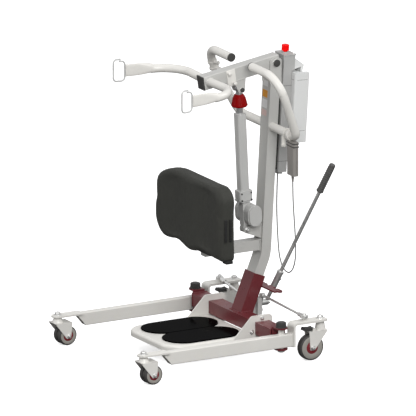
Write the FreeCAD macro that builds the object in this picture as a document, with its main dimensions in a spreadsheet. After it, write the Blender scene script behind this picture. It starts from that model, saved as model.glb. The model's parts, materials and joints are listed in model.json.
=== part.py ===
"""Sit-to-stand patient lift hoist, as separate parts in one frame.

The patient stands on the -Y side and the attendant pushes from +Y.  +X is the
attendant's left-hand side, +Z is up, and the origin is on the floor under the
middle of the lift's box.  Every length is in millimetres.
"""
import FreeCAD, Part
import math
import os
import Sketcher

os.makedirs("parts", exist_ok=True)
V = FreeCAD.Vector
doc = FreeCAD.newDocument("patient_lift_hoist")
dims = doc.addObject("Spreadsheet::Sheet", "dims")

DRIVING = {
    # from the line the parts are drawn from to the middle of the lift
    "centre_y": -5.5,
    # base frame
    "pivot_x": 321, "pivot_y": 161, "leg_wide": 30, "leg_tall": 50, "leg_base": 64,
    "leg_rear_y": 201, "leg_front_y": -355, "leg_wall": 2.5, "toe_cut": 42,
    "toe_plate": 6, "toe_swivel_y": -426, "toe_round": 24,
    "beam_long": 584, "beam_deep": 60, "beam_tall": 48, "beam_base": 83, "beam_y": 162,
    "beam_wall": 3, "yoke_gap": 75, "yoke_plate": 5, "yoke_base": 56, "yoke_half": 24,
    "bolt_radius": 8, "bolt_base": 46, "bolt_top": 150, "bush_wall": 3,
    "knob_radius": 18, "knob_base": 141, "knob_top": 160,
    "rear_plate": 8, "rear_plate_wide": 50, "rear_plate_top": 154, "rear_plate_end": 350,
    # foot plate
    "tray_half": 173, "tray_front": -230, "tray_rear": 132, "tray_base": 57, "tray_top": 80,
    "tray_corner": 75, "tray_lip": 11, "tray_skin": 3, "cheek_x": 174, "cheek_thick": 6,
    "pad_wide": 154, "pad_long": 306, "pad_thick": 5, "pad_x": 79, "pad_mid_y": -45,
    # casters
    "front_wheel": 37.5, "front_trail": 32, "front_half": 25, "front_disc": 21,
    "rear_wheel": 50, "rear_trail": 42, "rear_half": 15, "rear_swivel_y": 327,
    "fork_plate": 3, "fork_gap": 1.5, "axle_radius": 5, "brake_y": 292, "brake_z": 119.5,
    # mast
    "mast_wide": 60, "mast_deep": 40, "mast_wall": 3, "mast_bend_y": 263, "mast_bend_z": 340,
    "mast_lean": 3.4, "foot_lean": 22, "mast_up": 672, "mast_down": 205, "mast_bend_radius": 120,
    "socket_wall": 5, "socket_long": 160, "socket_down": 240,
    # boom and sling arms
    "boom_pin_y": 305, "boom_pin_z": 1068, "boom_wide": 46, "boom_tall": 52, "boom_wall": 3,
    "boom_front": 304, "boom_back": 18, "boom_drop": 8.2, "boom_pin_radius": 8,
    "arm_radius": 16, "arm_wall": 2, "arm_out": 228,
    "arm_root_y": 27, "arm_root_z": 1030, "arm_tip_x": 247, "arm_tip_y": -143, "arm_tip_z": 1037,
    "arm_bend": 115, "hook_wire": 3.2, "hook_wide": 52, "hook_tall": 82,
    # actuator
    "ram_foot_y": 189, "ram_foot_z": 440, "ram_bore": 12.4, "ram_rod": 12, "ram_tube_x": 38,
    "ram_tube_y": 36, "ram_tube_start": 150, "ram_tube_end": 446, "motor_radius": 29, "motor_y": 18,
    "ram_tilt": 2.746, "ram_long": 542.6,
    # knee pad
    "knee_z": 376, "knee_tube": 34, "knee_sleeve": 40, "knee_pad_wide": 516,
    "knee_pad_base": 392, "knee_pad_top": 682, "knee_pad_thick": 52,
    # electrics, in the mast's own leaning frame
    "box_half": 36, "box_front": 30, "box_back": 66, "box_low": 310, "box_high": 754,
    "battery_half": 62, "battery_deep": 62, "battery_low": 425, "battery_high": 690,
    "button_radius": 14,
    # push handle
    "handle_radius": 16, "handle_wall": 2, "handle_half": 262, "bar_y": 288.5, "bar_z": 826,
    "bar_half": 215, "handle_knee_y": 209.5, "handle_knee_z": 996,
    "grip_in": 78, "grip_y": 175, "grip_z": 1081, "strap_x": 143,
    # base spreader
    "lever_y": 275, "lever_z": 148, "lever_top_x": 201, "lever_top_y": 450, "lever_top_z": 700,
    "lever_radius": 7, "grip_long": 122, "grip_radius": 12, "crank_radius": 30.5, "crank_lean": 20,
    "stud_x": 316, "stud_y": 262, "rod_radius": 4.5,
    # handset
    "handset_x": 190, "handset_y": 285, "handset_base": 678, "handset_wide": 54,
    "handset_deep": 24, "handset_tall": 130, "cable_radius": 2.5,
}
for row, (alias, size) in enumerate(DRIVING.items(), start=1):
    dims.set(f"A{row}", alias)
    dims.set(f"B{row}", str(size))
    dims.setAlias(f"B{row}", alias)
doc.recompute()

NODES = {}


def size(alias):
    """The number in one cell of the sheet."""
    return float(dims.get(alias))


def keep(label, piece):
    """Place a finished sub-part in the lift's frame, under the label that names its file."""
    placed = doc.addObject("Part::Compound", f"{label}_node")
    placed.Links = [piece]
    placed.setExpression("Placement.Base.y", "dims.centre_y")
    placed.Label = label
    NODES[label] = placed
    return piece


def put(piece, x="0", y="0", z="0"):
    """Bind a piece's position to sheet expressions."""
    piece.setExpression("Placement.Base.x", x)
    piece.setExpression("Placement.Base.y", y)
    piece.setExpression("Placement.Base.z", z)
    return piece


def box(name, length, width, height, x="0", y="0", z="0"):
    """A block whose corner nearest the origin of its own axes is at x, y, z."""
    block = doc.addObject("Part::Box", name)
    block.setExpression("Length", length)
    block.setExpression("Width", width)
    block.setExpression("Height", height)
    return put(block, x, y, z)


TURN = {"x": FreeCAD.Rotation(V(0, 1, 0), 90), "y": FreeCAD.Rotation(V(1, 0, 0), -90),
        "z": FreeCAD.Rotation()}


def rod(name, radius, height, x="0", y="0", z="0", along="z"):
    """A round bar that starts at x, y, z and runs along one axis."""
    bar = doc.addObject("Part::Cylinder", name)
    bar.Placement = FreeCAD.Placement(V(), TURN[along])
    bar.setExpression("Radius", radius)
    bar.setExpression("Height", height)
    return put(bar, x, y, z)


def cone(name, radius_low, radius_high, height, x="0", y="0", z="0"):
    """A straight-sided cone frustum standing on x, y, z."""
    frustum = doc.addObject("Part::Cone", name)
    frustum.setExpression("Radius1", radius_low)
    frustum.setExpression("Radius2", radius_high)
    frustum.setExpression("Height", height)
    return put(frustum, x, y, z)


def cut(name, base, *tools):
    """The base with every tool taken out of it."""
    result = base
    for number, tool in enumerate(tools):
        step = doc.addObject("Part::Cut", f"{name}_cut{number}")
        step.Base = result
        step.Tool = tool
        result = step
    return result


def fuse(name, *pieces):
    """Several welded pieces as one."""
    joined = doc.addObject("Part::MultiFuse", f"{name}_weld")
    joined.Shapes = list(pieces)
    return joined


def group(name, *pieces):
    """Separate solids that share one node."""
    bundle = doc.addObject("Part::Compound", f"{name}_set")
    bundle.Links = list(pieces)
    return bundle


def rounded(name, base, radius, chosen):
    """A Part fillet on the edges that the chosen test accepts."""
    doc.recompute()
    edges = [(number, radius, radius) for number, edge in enumerate(base.Shape.Edges, start=1)
             if chosen(edge)]
    soft = doc.addObject("Part::Fillet", f"{name}_fillet")
    soft.Base = base
    soft.Edges = edges
    return soft


def runs_along(edge, axis):
    """True for a straight edge parallel to an axis."""
    if edge.Curve.TypeId != "Part::GeomLine":
        return False
    return abs(edge.Curve.Direction.dot(axis)) > 0.999


def origin_plane(body, role):
    """One of a body's own origin planes."""
    return [item for item in body.Origin.OriginFeatures if item.Role == role][0]


def sketch_on(body, name, role, corners):
    """A closed outline whose every corner is bound to sheet expressions."""
    sketch = body.newObject("Sketcher::SketchObject", name)
    sketch.AttachmentSupport = [(origin_plane(body, role), "")]
    sketch.MapMode = "FlatFace"
    count = len(corners)
    start = [V(10 * math.cos(2 * math.pi * n / count), 10 * math.sin(2 * math.pi * n / count), 0)
             for n in range(count)]
    for number in range(count):
        sketch.addGeometry(Part.LineSegment(start[number], start[(number + 1) % count]), False)
    for number in range(count):
        sketch.addConstraint(Sketcher.Constraint("Coincident", number, 2, (number + 1) % count, 1))
    for number, (across, up) in enumerate(corners):
        for kind, expression in (("DistanceX", across), ("DistanceY", up)):
            index = sketch.addConstraint(Sketcher.Constraint(kind, -1, 1, number, 1, 5.0 + number))
            sketch.setExpression(f"Constraints[{index}]", expression)
    return sketch


def plate(label, role, corners, thickness, offset="0", side="0"):
    """A flat plate: an outline padded by its thickness, moved by offset along its normal."""
    body = doc.addObject("PartDesign::Body", f"{label}_body")
    sketch = sketch_on(body, f"{label}_outline", role, corners)
    pad = body.newObject("PartDesign::Pad", f"{label}_pad")
    pad.Profile = sketch
    pad.setExpression("Length", thickness)
    pad.Reversed = role == "XZ_Plane"
    sketch.Visibility = False
    position = {"YZ_Plane": (offset, side, "0"), "XZ_Plane": ("0", offset, side),
                "XY_Plane": (side, "0", offset)}[role]
    put(body, *position)
    return body


def round_pad(body, name, radius, axis, chosen=lambda middle: True):
    """Round the padded outline's corners that run along the given axis."""
    doc.recompute()
    base = body.Tip
    edges = [f"Edge{number}" for number, edge in enumerate(base.Shape.Edges, start=1)
             if runs_along(edge, axis) and chosen(edge.CenterOfMass)]
    soft = body.newObject("PartDesign::Fillet", f"{name}_fillet")
    soft.Base = (base, edges)
    soft.setExpression("Radius", radius)
    doc.recompute()
    return body


def spin(label, outline, along, x="0", y="0", z="0"):
    """A turned piece: an outline of (radius, height) corners turned about its own axis."""
    body = doc.addObject("PartDesign::Body", f"{label}_body")
    sketch = sketch_on(body, f"{label}_half", "XZ_Plane", outline)
    turned = body.newObject("PartDesign::Revolution", f"{label}_turn")
    turned.Profile = sketch
    turned.ReferenceAxis = (sketch, ["V_Axis"])
    turned.Angle = 360
    sketch.Visibility = False
    body.Placement = FreeCAD.Placement(V(), TURN[along])
    return put(body, x, y, z)


def bent_wire(points, radii):
    """Straight runs through the points, joined by tangent arcs of the given radii."""
    edges = []
    start = points[0]
    for number, radius in enumerate(radii, start=1):
        corner = points[number]
        back = (points[number - 1] - corner).normalize()
        ahead = (points[number + 1] - corner).normalize()
        turn = math.pi - back.getAngle(ahead)
        reach = radius * math.tan(turn / 2)
        enter = corner + back * reach
        leave = corner + ahead * reach
        inward = (back + ahead).normalize()
        middle = corner + inward * (radius / math.cos(turn / 2) - radius)
        edges.append(Part.LineSegment(start, enter).toShape())
        edges.append(Part.Arc(enter, middle, leave).toShape())
        start = leave
    edges.append(Part.LineSegment(start, points[-1]).toShape())
    return Part.Wire(edges)


def swept(wire, radius):
    """A round solid that follows a wire."""
    first = wire.Edges[0]
    start = first.valueAt(first.FirstParameter)
    ahead = first.tangentAt(first.FirstParameter)
    ring = Part.Wire([Part.Circle(start, ahead, radius).toShape()])
    return wire.makePipeShell([ring], True, False)


def bent_tube(name, points, radii, radius, wall):
    """A bent round tube, hollow to its ends."""
    wire = bent_wire(points, radii)
    tube = doc.addObject("Part::Feature", name)
    tube.Shape = swept(wire, radius).cut(swept(wire, radius - wall))
    return tube


def lean(piece, angle, y_cell, z_cell):
    """Tip a piece drawn about its own origin about X, and bind where that origin goes."""
    doc.recompute()
    piece.Placement = FreeCAD.Placement(V(0, size(y_cell), size(z_cell)),
                                        FreeCAD.Rotation(V(1, 0, 0), angle))
    return put(piece, "0", f"dims.{y_cell}", f"dims.{z_cell}")


def on_mast(piece):
    """Place a piece drawn in the mast's frame, whose z runs up from the mast's bend."""
    return lean(piece, -size("mast_lean"), "mast_bend_y", "mast_bend_z")


def on_boom(piece):
    """Place a piece drawn in the boom's frame, whose -y runs forward from the boom pin."""
    return lean(piece, size("boom_drop"), "boom_pin_y", "boom_pin_z")


def on_ram(piece):
    """Place a piece drawn in the ram's frame, whose z runs up from the ram's foot pin."""
    return lean(piece, size("ram_tilt"), "ram_foot_y", "ram_foot_z")


# ---------------------------------------------------------------- base frame

def cross_beam():
    """Box beam between the two leg pivots."""
    outer = box("beam_outer", "dims.beam_long", "dims.beam_deep", "dims.beam_tall",
                "-dims.beam_long / 2", "dims.beam_y - dims.beam_deep / 2", "dims.beam_base")
    inner = box("beam_inner", "dims.beam_long + 2", "dims.beam_deep - 2 * dims.beam_wall",
                "dims.beam_tall - 2 * dims.beam_wall", "-dims.beam_long / 2 - 1",
                "dims.beam_y - dims.beam_deep / 2 + dims.beam_wall",
                "dims.beam_base + dims.beam_wall")
    keep("cross_beam", cut("beam", outer, inner))


def pivot_bracket(side):
    """C-shaped bracket that holds one leg between two ears."""
    tag = "left" if side > 0 else "right"
    root = f"{side} * dims.beam_long / 2"
    web = plate(f"bracket_web_{tag}", "YZ_Plane",
                [("-dims.yoke_half", "0"), ("dims.yoke_half", "0"),
                 ("dims.yoke_half", "dims.yoke_gap + 2 * dims.yoke_plate"),
                 ("-dims.yoke_half", "dims.yoke_gap + 2 * dims.yoke_plate")], "dims.yoke_plate",
                root if side > 0 else f"{root} - dims.yoke_plate")
    web.setExpression("Placement.Base.y", "dims.pivot_y")
    web.setExpression("Placement.Base.z", "dims.yoke_base")
    pieces = [web]
    for name, low in (("low", "dims.yoke_base"),
                      ("high", "dims.yoke_base + dims.yoke_gap + dims.yoke_plate")):
        length = "dims.pivot_x - dims.beam_long / 2"
        ear = box(f"ear_{name}_{tag}", length, "2 * dims.yoke_half", "dims.yoke_plate",
                  root if side > 0 else "-dims.pivot_x", "dims.pivot_y - dims.yoke_half", low)
        nose = rod(f"ear_nose_{name}_{tag}", "dims.yoke_half", "dims.yoke_plate",
                   f"{side} * dims.pivot_x", "dims.pivot_y", low)
        pieces += [ear, nose]
    hole = rod(f"ear_hole_{tag}", "dims.bolt_radius", "200", f"{side} * dims.pivot_x",
               "dims.pivot_y", "0")
    return cut(f"pivot_bracket_{tag}", fuse(f"pivot_bracket_{tag}", *pieces), hole)


def pivot_bolt(side):
    """Bolt through one leg pivot with its nut below."""
    tag = "left" if side > 0 else "right"
    place = (f"{side} * dims.pivot_x", "dims.pivot_y")
    shank = rod(f"bolt_shank_{tag}", "dims.bolt_radius", "dims.bolt_top - dims.bolt_base",
                *place, "dims.bolt_base")
    nut = rod(f"bolt_nut_{tag}", "dims.bolt_radius + 5", "dims.yoke_base - dims.bolt_base - 2",
              *place, "dims.bolt_base + 2")
    return fuse(f"pivot_bolt_{tag}", shank, nut)


def pivot_knob(side):
    """Dark cap over the top of one pivot bolt."""
    tag = "left" if side > 0 else "right"
    place = (f"{side} * dims.pivot_x", "dims.pivot_y")
    cap = rod(f"knob_cap_{tag}", "dims.knob_radius", "dims.knob_top - dims.knob_base", *place,
              "dims.knob_base")
    skirt = rod(f"knob_skirt_{tag}", "dims.knob_radius + 2.5", "4", *place, "dims.knob_base")
    well = rod(f"knob_well_{tag}", "dims.bolt_radius", "dims.bolt_top - dims.knob_base", *place,
               "dims.knob_base")
    return cut(f"pivot_knob_{tag}", fuse(f"knob_{tag}", cap, skirt), well)


def foot_plate():
    """Pressed foot tray with a rolled lip, and the two cheeks that carry it."""
    body = plate("foot_tray", "XY_Plane",
                 [("-dims.tray_half", "dims.tray_front"), ("dims.tray_half", "dims.tray_front"),
                  ("dims.tray_half", "dims.tray_rear"), ("-dims.tray_half", "dims.tray_rear")],
                 "dims.tray_top - dims.tray_base", "dims.tray_base")
    round_pad(body, "tray_corner", "dims.tray_corner", V(0, 0, 1), lambda middle: middle.y < 0)
    hollow = box("tray_hollow", "2 * (dims.tray_half - dims.tray_lip)",
                 "dims.tray_rear - dims.tray_front - 2 * dims.tray_lip",
                 "dims.tray_top - dims.tray_base - dims.tray_skin",
                 "-dims.tray_half + dims.tray_lip", "dims.tray_front + dims.tray_lip",
                 "dims.tray_base")
    eased = rounded("tray_hollow", hollow, size("tray_corner") - size("tray_lip"),
                    lambda edge: runs_along(edge, V(0, 0, 1))
                    and edge.CenterOfMass.y < 0)
    rolled = rounded("tray_lip", body, size("tray_lip"),
                     lambda edge: abs(edge.CenterOfMass.z - size("tray_top")) < 0.1
                     and edge.CenterOfMass.y < size("tray_rear") - 1)
    tray = cut("foot_tray", rolled, eased)
    cheeks = []
    for side, tag in ((1, "left"), (-1, "right")):
        edge = f"{side} * dims.cheek_x - dims.cheek_thick / 2"
        cheek = plate(f"cheek_{tag}", "YZ_Plane",
                      [("32", "dims.tray_base + 8"), ("118", "154"), ("205", "154"),
                       ("205", "dims.tray_base + 8")], "dims.cheek_thick", edge)
        round_pad(cheek, f"cheek_{tag}", "14", V(1, 0, 0), lambda middle: middle.z > 100)
        window = box(f"cheek_window_{tag}", "30", "dims.beam_deep", "dims.beam_tall",
                     f"{side} * dims.cheek_x - 15", "dims.beam_y - dims.beam_deep / 2",
                     "dims.beam_base")
        cheeks.append(cut(f"cheek_{tag}", cheek, window))
    keep("foot_plate", fuse("foot_plate", tray, *cheeks))


def foot_pad(side):
    """Black round-ended tread pad for one foot."""
    tag = "left" if side > 0 else "right"
    straight = box(f"pad_middle_{tag}", "dims.pad_wide", "dims.pad_long - dims.pad_wide",
                   "dims.pad_thick", f"{side} * dims.pad_x - dims.pad_wide / 2",
                   "dims.pad_mid_y - (dims.pad_long - dims.pad_wide) / 2", "dims.tray_top")
    ends = [rod(f"pad_end_{tag}_{number}", "dims.pad_wide / 2", "dims.pad_thick",
                f"{side} * dims.pad_x",
                f"dims.pad_mid_y + {reach} * (dims.pad_long - dims.pad_wide) / 2",
                "dims.tray_top") for number, reach in enumerate((-1, 1))]
    joined = fuse(f"foot_pad_{tag}", straight, *ends)
    return rounded(f"foot_pad_{tag}", joined, 1.5,
                   lambda edge: abs(edge.CenterOfMass.z - size("tray_top")
                                    - size("pad_thick")) < 0.01
                   and abs(edge.CenterOfMass.y - size("pad_mid_y")) < 400
                   and on_rim(edge, side))


def on_rim(edge, side):
    """True for an edge on the outline of a foot pad, not on a joint inside it."""
    across = abs(edge.CenterOfMass.x - side * size("pad_x"))
    return edge.Curve.TypeId == "Part::GeomCircle" or across > 1


def base_frame():
    """Everything welded or bolted to the fixed part of the base."""
    cross_beam()
    sides = (1, -1)
    keep("pivot_brackets", group("pivot_brackets", *[pivot_bracket(side) for side in sides]))
    keep("pivot_bolts", group("pivot_bolts", *[pivot_bolt(side) for side in sides]))
    keep("pivot_knobs", group("pivot_knobs", *[pivot_knob(side) for side in sides]))
    foot_plate()
    keep("foot_pads", group("foot_pads", *[foot_pad(side) for side in sides]))


# ---------------------------------------------------------------------- legs

def leg(side):
    """Leg tube with its bevelled toe, caster plate, pivot bush and rear caster bracket."""
    tag = "left" if side > 0 else "right"
    tube = plate(f"leg_tube_{tag}", "YZ_Plane",
                 [("dims.leg_rear_y", "dims.leg_base"),
                  ("dims.leg_rear_y", "dims.leg_base + dims.leg_tall"),
                  ("dims.leg_front_y", "dims.leg_base + dims.leg_tall"),
                  ("dims.leg_front_y + dims.toe_cut", "dims.leg_base")], "dims.leg_wide",
                 f"{side} * dims.pivot_x - dims.leg_wide / 2")
    round_pad(tube, f"leg_{tag}", "4", V(0, 1, 0))
    bore = box(f"leg_bore_{tag}", "dims.leg_wide - 2 * dims.leg_wall", "600",
               "dims.leg_tall - 2 * dims.leg_wall",
               f"{side} * dims.pivot_x - dims.leg_wide / 2 + dims.leg_wall",
               "dims.leg_rear_y - 600", "dims.leg_base + dims.leg_wall")
    bush = rod(f"leg_bush_{tag}", "dims.bolt_radius + dims.bush_wall", "dims.leg_tall + 22",
               f"{side} * dims.pivot_x", "dims.pivot_y", "dims.leg_base - 2")
    toe = box(f"toe_{tag}", "2 * dims.toe_round", "dims.leg_front_y - dims.toe_swivel_y + 30",
              "dims.toe_plate", f"{side} * dims.pivot_x - dims.toe_round", "dims.toe_swivel_y",
              "dims.leg_base + dims.leg_tall - dims.toe_plate + 1")
    nose = rod(f"toe_nose_{tag}", "dims.toe_round", "dims.toe_plate", f"{side} * dims.pivot_x",
               "dims.toe_swivel_y", "dims.leg_base + dims.leg_tall - dims.toe_plate + 1")
    bracket = plate(f"rear_bracket_{tag}", "YZ_Plane",
                    [("dims.leg_rear_y", "dims.leg_base"),
                     ("dims.leg_rear_y + dims.rear_plate", "dims.leg_base"),
                     ("dims.leg_rear_y + dims.rear_plate", "dims.rear_plate_top - dims.rear_plate"),
                     ("dims.rear_plate_end", "dims.rear_plate_top - dims.rear_plate"),
                     ("dims.rear_plate_end", "dims.rear_plate_top"),
                     ("dims.leg_rear_y", "dims.rear_plate_top")], "dims.rear_plate_wide",
                    f"{side} * dims.pivot_x - dims.rear_plate_wide / 2")
    round_pad(bracket, f"bracket_out_{tag}", "16", V(1, 0, 0),
              lambda middle: middle.y < size("leg_rear_y") + 1 and middle.z > 120)
    round_pad(bracket, f"bracket_in_{tag}", "8", V(1, 0, 0),
              lambda middle: abs(middle.y - size("leg_rear_y") - size("rear_plate")) < 1
              and middle.z > 120)
    round_pad(bracket, f"bracket_end_{tag}", "16", V(0, 0, 1),
              lambda middle: middle.y > size("rear_plate_end") - 1)
    stud = rod(f"rod_stud_{tag}", "5", "22", f"{side} * dims.stud_x", "dims.stud_y",
               "dims.rear_plate_top - 2")
    hole = rod(f"leg_hole_{tag}", "dims.bolt_radius + 0.05", "200", f"{side} * dims.pivot_x",
               "dims.pivot_y", "0")
    shell = cut(f"leg_shell_{tag}", tube, bore)
    welded = fuse(f"leg_{tag}", shell, bush, toe, nose, bracket, stud)
    keep(f"leg_{tag}", cut(f"leg_{tag}", welded, hole))


# ------------------------------------------------------------------- casters

def caster_fork(label, side, wheel, trail, half, swivel_y, crown, top, toward, extra=()):
    """Swivel head with a crown and two cheeks that taper down to the axle."""
    swivel = f"({side} * dims.pivot_x)"
    gap = f"({half} + dims.fork_gap)"
    axle_y = f"({swivel_y} + {toward} * {trail})"
    blocks = []
    for hand, name in ((1, "out"), (-1, "in")):
        start = f"{swivel} + {gap}" if hand > 0 else f"{swivel} - {gap} - dims.fork_plate"
        cheek = plate(f"{label}_{name}", "YZ_Plane",
                      [(f"{swivel_y} - {toward} * 20", f"{crown} - 3"),
                       (f"{axle_y} - {toward} * 9", f"{wheel} - 9"),
                       (f"{axle_y} + {toward} * 9", f"{wheel} - 9"),
                       (f"{axle_y} + {toward} * 14", f"{crown} - 3"),
                       (f"{axle_y} + {toward} * 14", f"{crown} + 3"),
                       (f"{swivel_y} - {toward} * 20", f"{crown} + 3")], "dims.fork_plate", start)
        blocks.append(cheek)
    low_end = f"{swivel_y} - 20" if toward > 0 else f"{axle_y} - 14"
    bridge = box(f"{label}_bridge", f"2 * ({gap} + dims.fork_plate)", f"{trail} + 34",
                 "dims.fork_plate", f"{swivel} - {gap} - dims.fork_plate", low_end, crown)
    dome = cone(f"{label}_dome", "21", "15", f"{top} - {crown} - 3 - 4", swivel, swivel_y,
                f"{crown} + 3")
    neck = rod(f"{label}_neck", "12", "4 - 0.3", swivel, swivel_y, f"{top} - 4")
    axle = rod(f"{label}_axle", "dims.axle_radius", f"2 * ({gap} + dims.fork_plate + 2)",
               f"{swivel} - {gap} - dims.fork_plate - 2", axle_y, wheel, along="x")
    keep(label, fuse(label, *blocks, bridge, dome, neck, axle, *extra))


def wheel_disc(label, side, wheel, width, hub, axle_y, start):
    """Tyre ring on a dished hub, for one wheel."""
    centre = f"{side} * dims.pivot_x + {start}"
    tyre = spin(f"{label}_tyre", [(f"{hub}", "0.8"), (f"{wheel} - 5", "0"), (f"{wheel} - 1.2", "3"),
                                  (wheel, f"{width} / 2"), (f"{wheel} - 1.2", f"{width} - 3"),
                                  (f"{wheel} - 5", width), (f"{hub}", f"{width} - 0.8")], "x",
                centre, axle_y, wheel)
    centre_disc = spin(f"{label}_hub", [("dims.axle_radius + 0.05", "0.5"), ("12", "0.5"),
                                        ("15", "4"), (f"{hub} - 4", "4"), (hub, "1"),
                                        (hub, f"{width} - 1"), (f"{hub} - 4", f"{width} - 4"),
                                        ("15", f"{width} - 4"), ("12", f"{width} - 0.5"),
                                        ("dims.axle_radius + 0.05", f"{width} - 0.5")], "x",
                       centre, axle_y, wheel)
    return tyre, centre_disc


def casters(side):
    """Twin-wheel caster at the toe and a braked single-wheel caster at the heel."""
    tag = "left" if side > 0 else "right"
    caster_fork(f"front_fork_{tag}", side, "dims.front_wheel", "dims.front_trail",
                "dims.front_half", "dims.toe_swivel_y", "86",
                "(dims.leg_base + dims.leg_tall - dims.toe_plate + 1)", 1)
    front_y = "dims.toe_swivel_y + dims.front_trail"
    pairs = [wheel_disc(f"front_{tag}_{name}", side, "dims.front_wheel", "dims.front_disc", "20",
                        front_y, start)
             for name, start in (("a", "dims.front_half - dims.front_disc"),
                                 ("b", "-dims.front_half"))]
    keep(f"front_tyres_{tag}", group(f"front_tyres_{tag}", *[pair[0] for pair in pairs]))
    spacer = rod(f"front_spacer_{tag}", "9", "2 * (dims.front_half - dims.front_disc) - 1",
                 f"{side} * dims.pivot_x - dims.front_half + dims.front_disc + 0.5", front_y,
                 "dims.front_wheel", along="x")
    bore = rod(f"front_spacer_bore_{tag}", "dims.axle_radius + 0.05", "60",
               f"{side} * dims.pivot_x - 30", front_y, "dims.front_wheel", along="x")
    hubs = [pair[1] for pair in pairs] + [cut(f"front_spacer_{tag}", spacer, bore)]
    keep(f"front_hubs_{tag}", group(f"front_hubs_{tag}", *hubs))

    centre = f"{side} * dims.pivot_x"
    hinge = ("dims.brake_y", "dims.brake_z")
    lugs = [box(f"brake_lug_{tag}_{name}", "3.5", "12", "12", f"{centre} + {start}",
                "dims.brake_y - 6", "112.5") for name, start in (("out", "15.5"), ("in", "-19"))]
    lugs.append(rod(f"brake_pin_{tag}", "3", "36", f"{centre} - 18", *hinge, along="x"))
    caster_fork(f"rear_fork_{tag}", side, "dims.rear_wheel", "dims.rear_trail", "dims.rear_half",
                "dims.rear_swivel_y", "110", "(dims.rear_plate_top - dims.rear_plate)", -1, lugs)
    tyre, disc = wheel_disc(f"rear_{tag}", side, "dims.rear_wheel", "2 * dims.rear_half", "24",
                            "dims.rear_swivel_y - dims.rear_trail", "-dims.rear_half")
    keep(f"rear_tyre_{tag}", tyre)
    keep(f"rear_hub_{tag}", disc)
    pedal = plate(f"brake_pedal_{tag}", "YZ_Plane",
                  [("250", "116"), ("256", "127"), ("290", "123"), ("290", "116")], "30",
                  f"{centre} - 15")
    round_pad(pedal, f"pedal_{tag}", "2", V(1, 0, 0))
    barrel = rod(f"pedal_barrel_{tag}", "5.5", "30", f"{centre} - 15", *hinge, along="x")
    bore = rod(f"pedal_bore_{tag}", "3.05", "40", f"{centre} - 20", *hinge, along="x")
    keep(f"brake_pedal_{tag}", cut(f"brake_pedal_{tag}", fuse(f"pedal_{tag}", pedal, barrel), bore))


# ---------------------------------------------------------------------- mast

def mast_outline(inset, low, high):
    """Side view of the bent mast as six corners, inset from its outer faces."""
    half = size("mast_deep") / 2 - inset
    bend_y, bend_z = size("mast_bend_y"), size("mast_bend_z")
    upper = V(0, math.sin(math.radians(size("mast_lean"))), math.cos(math.radians(size("mast_lean"))))
    lower = V(0, -math.sin(math.radians(size("foot_lean"))), -math.cos(math.radians(size("foot_lean"))))
    middle = V(0, bend_y, bend_z)
    mitre = (upper - lower).normalize()
    across = V(0, -mitre.z, mitre.y)
    reach = half / math.cos(math.radians(size("foot_lean") - size("mast_lean")) / 2)
    up_side = V(0, -upper.z, upper.y) * half
    low_side = V(0, lower.z, -lower.y) * half
    return [middle + upper * high + up_side, middle + across * reach,
            middle + lower * low + low_side, middle + lower * low - low_side,
            middle - across * reach, middle + upper * high - up_side]


def bent_beam(name, inset, low, high, width):
    """Solid bar with the mast's side view, its bend rounded."""
    corners = mast_outline(inset, low, high)
    radius = size("mast_bend_radius")
    front = bent_wire([corners[0], corners[1], corners[2]], [radius])
    back = bent_wire([corners[3], corners[4], corners[5]], [radius + 40])
    top = Part.LineSegment(corners[5], corners[0]).toShape()
    foot = Part.LineSegment(corners[2], corners[3]).toShape()
    face = Part.Face(Part.Wire(front.Edges + [foot] + back.Edges + [top]))
    face.translate(V(-width / 2, 0, 0))
    solid = doc.addObject("Part::Feature", name)
    solid.Shape = face.extrude(V(width, 0, 0))
    return solid


def mast():
    """Bent rectangular mast with the boom's yoke, knee sleeve and ram bracket welded on."""
    wide, wall = size("mast_wide"), size("mast_wall")
    outer = bent_beam("mast_outer", 0, size("mast_down"), size("mast_up"), wide)
    inner = bent_beam("mast_inner", wall, size("mast_down") + 1, size("mast_up") - wall,
                      wide - 2 * wall)
    pieces = []
    for side, tag in ((1, "left"), (-1, "right")):
        start = f"{side} * dims.mast_wide / 2 - 3 * {1 + side}"
        ear = plate(f"yoke_{tag}", "YZ_Plane",
                    [("dims.boom_pin_y - 26", "990"), ("dims.boom_pin_y + 24", "990"),
                     ("dims.boom_pin_y + 24", "dims.boom_pin_z + 17"),
                     ("dims.boom_pin_y - 24", "dims.boom_pin_z + 17")], "6", start)
        round_pad(ear, f"yoke_{tag}", "12", V(1, 0, 0), lambda middle: middle.z > 1000)
        pieces.append(ear)
    pin_hole = rod("yoke_hole", "dims.boom_pin_radius", "100", "-50", "dims.boom_pin_y",
                   "dims.boom_pin_z", along="x")
    handle_hole = rod("handle_hole", "dims.handle_radius", "100", "-50", "dims.bar_y",
                      "dims.bar_z", along="x")
    shell = cut("mast_shell", outer, inner)
    sleeve = box("knee_sleeve_outer", "dims.knee_sleeve", "202", "dims.knee_sleeve",
                 "-dims.knee_sleeve / 2", "50",
                 "dims.knee_z - dims.knee_sleeve / 2")
    bay = box("knee_sleeve_inner", "dims.knee_tube + 0.2", "251", "dims.knee_tube + 0.2",
              "-dims.knee_tube / 2 - 0.1", "10",
              "dims.knee_z - dims.knee_tube / 2 - 0.1")
    for side, tag in ((1, "left"), (-1, "right")):
        ear = plate(f"ram_ear_{tag}", "YZ_Plane",
                    [("dims.ram_foot_y - 12", "dims.ram_foot_z - 10"),
                     ("dims.ram_foot_y - 12", "dims.ram_foot_z + 10"), ("255", "458"),
                     ("252", "400")], "5", f"{side} * 16 - 2.5")
        round_pad(ear, f"ram_ear_{tag}", "8", V(1, 0, 0),
                  lambda middle: middle.y < size("ram_foot_y"))
        pieces.append(ear)
    ram_hole = rod("ram_hole", "6", "60", "-30", "dims.ram_foot_y", "dims.ram_foot_z", along="x")
    welded = fuse("mast", shell, sleeve, *pieces)
    keep("mast", cut("mast", welded, bay, pin_hole, handle_hole, ram_hole))


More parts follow.
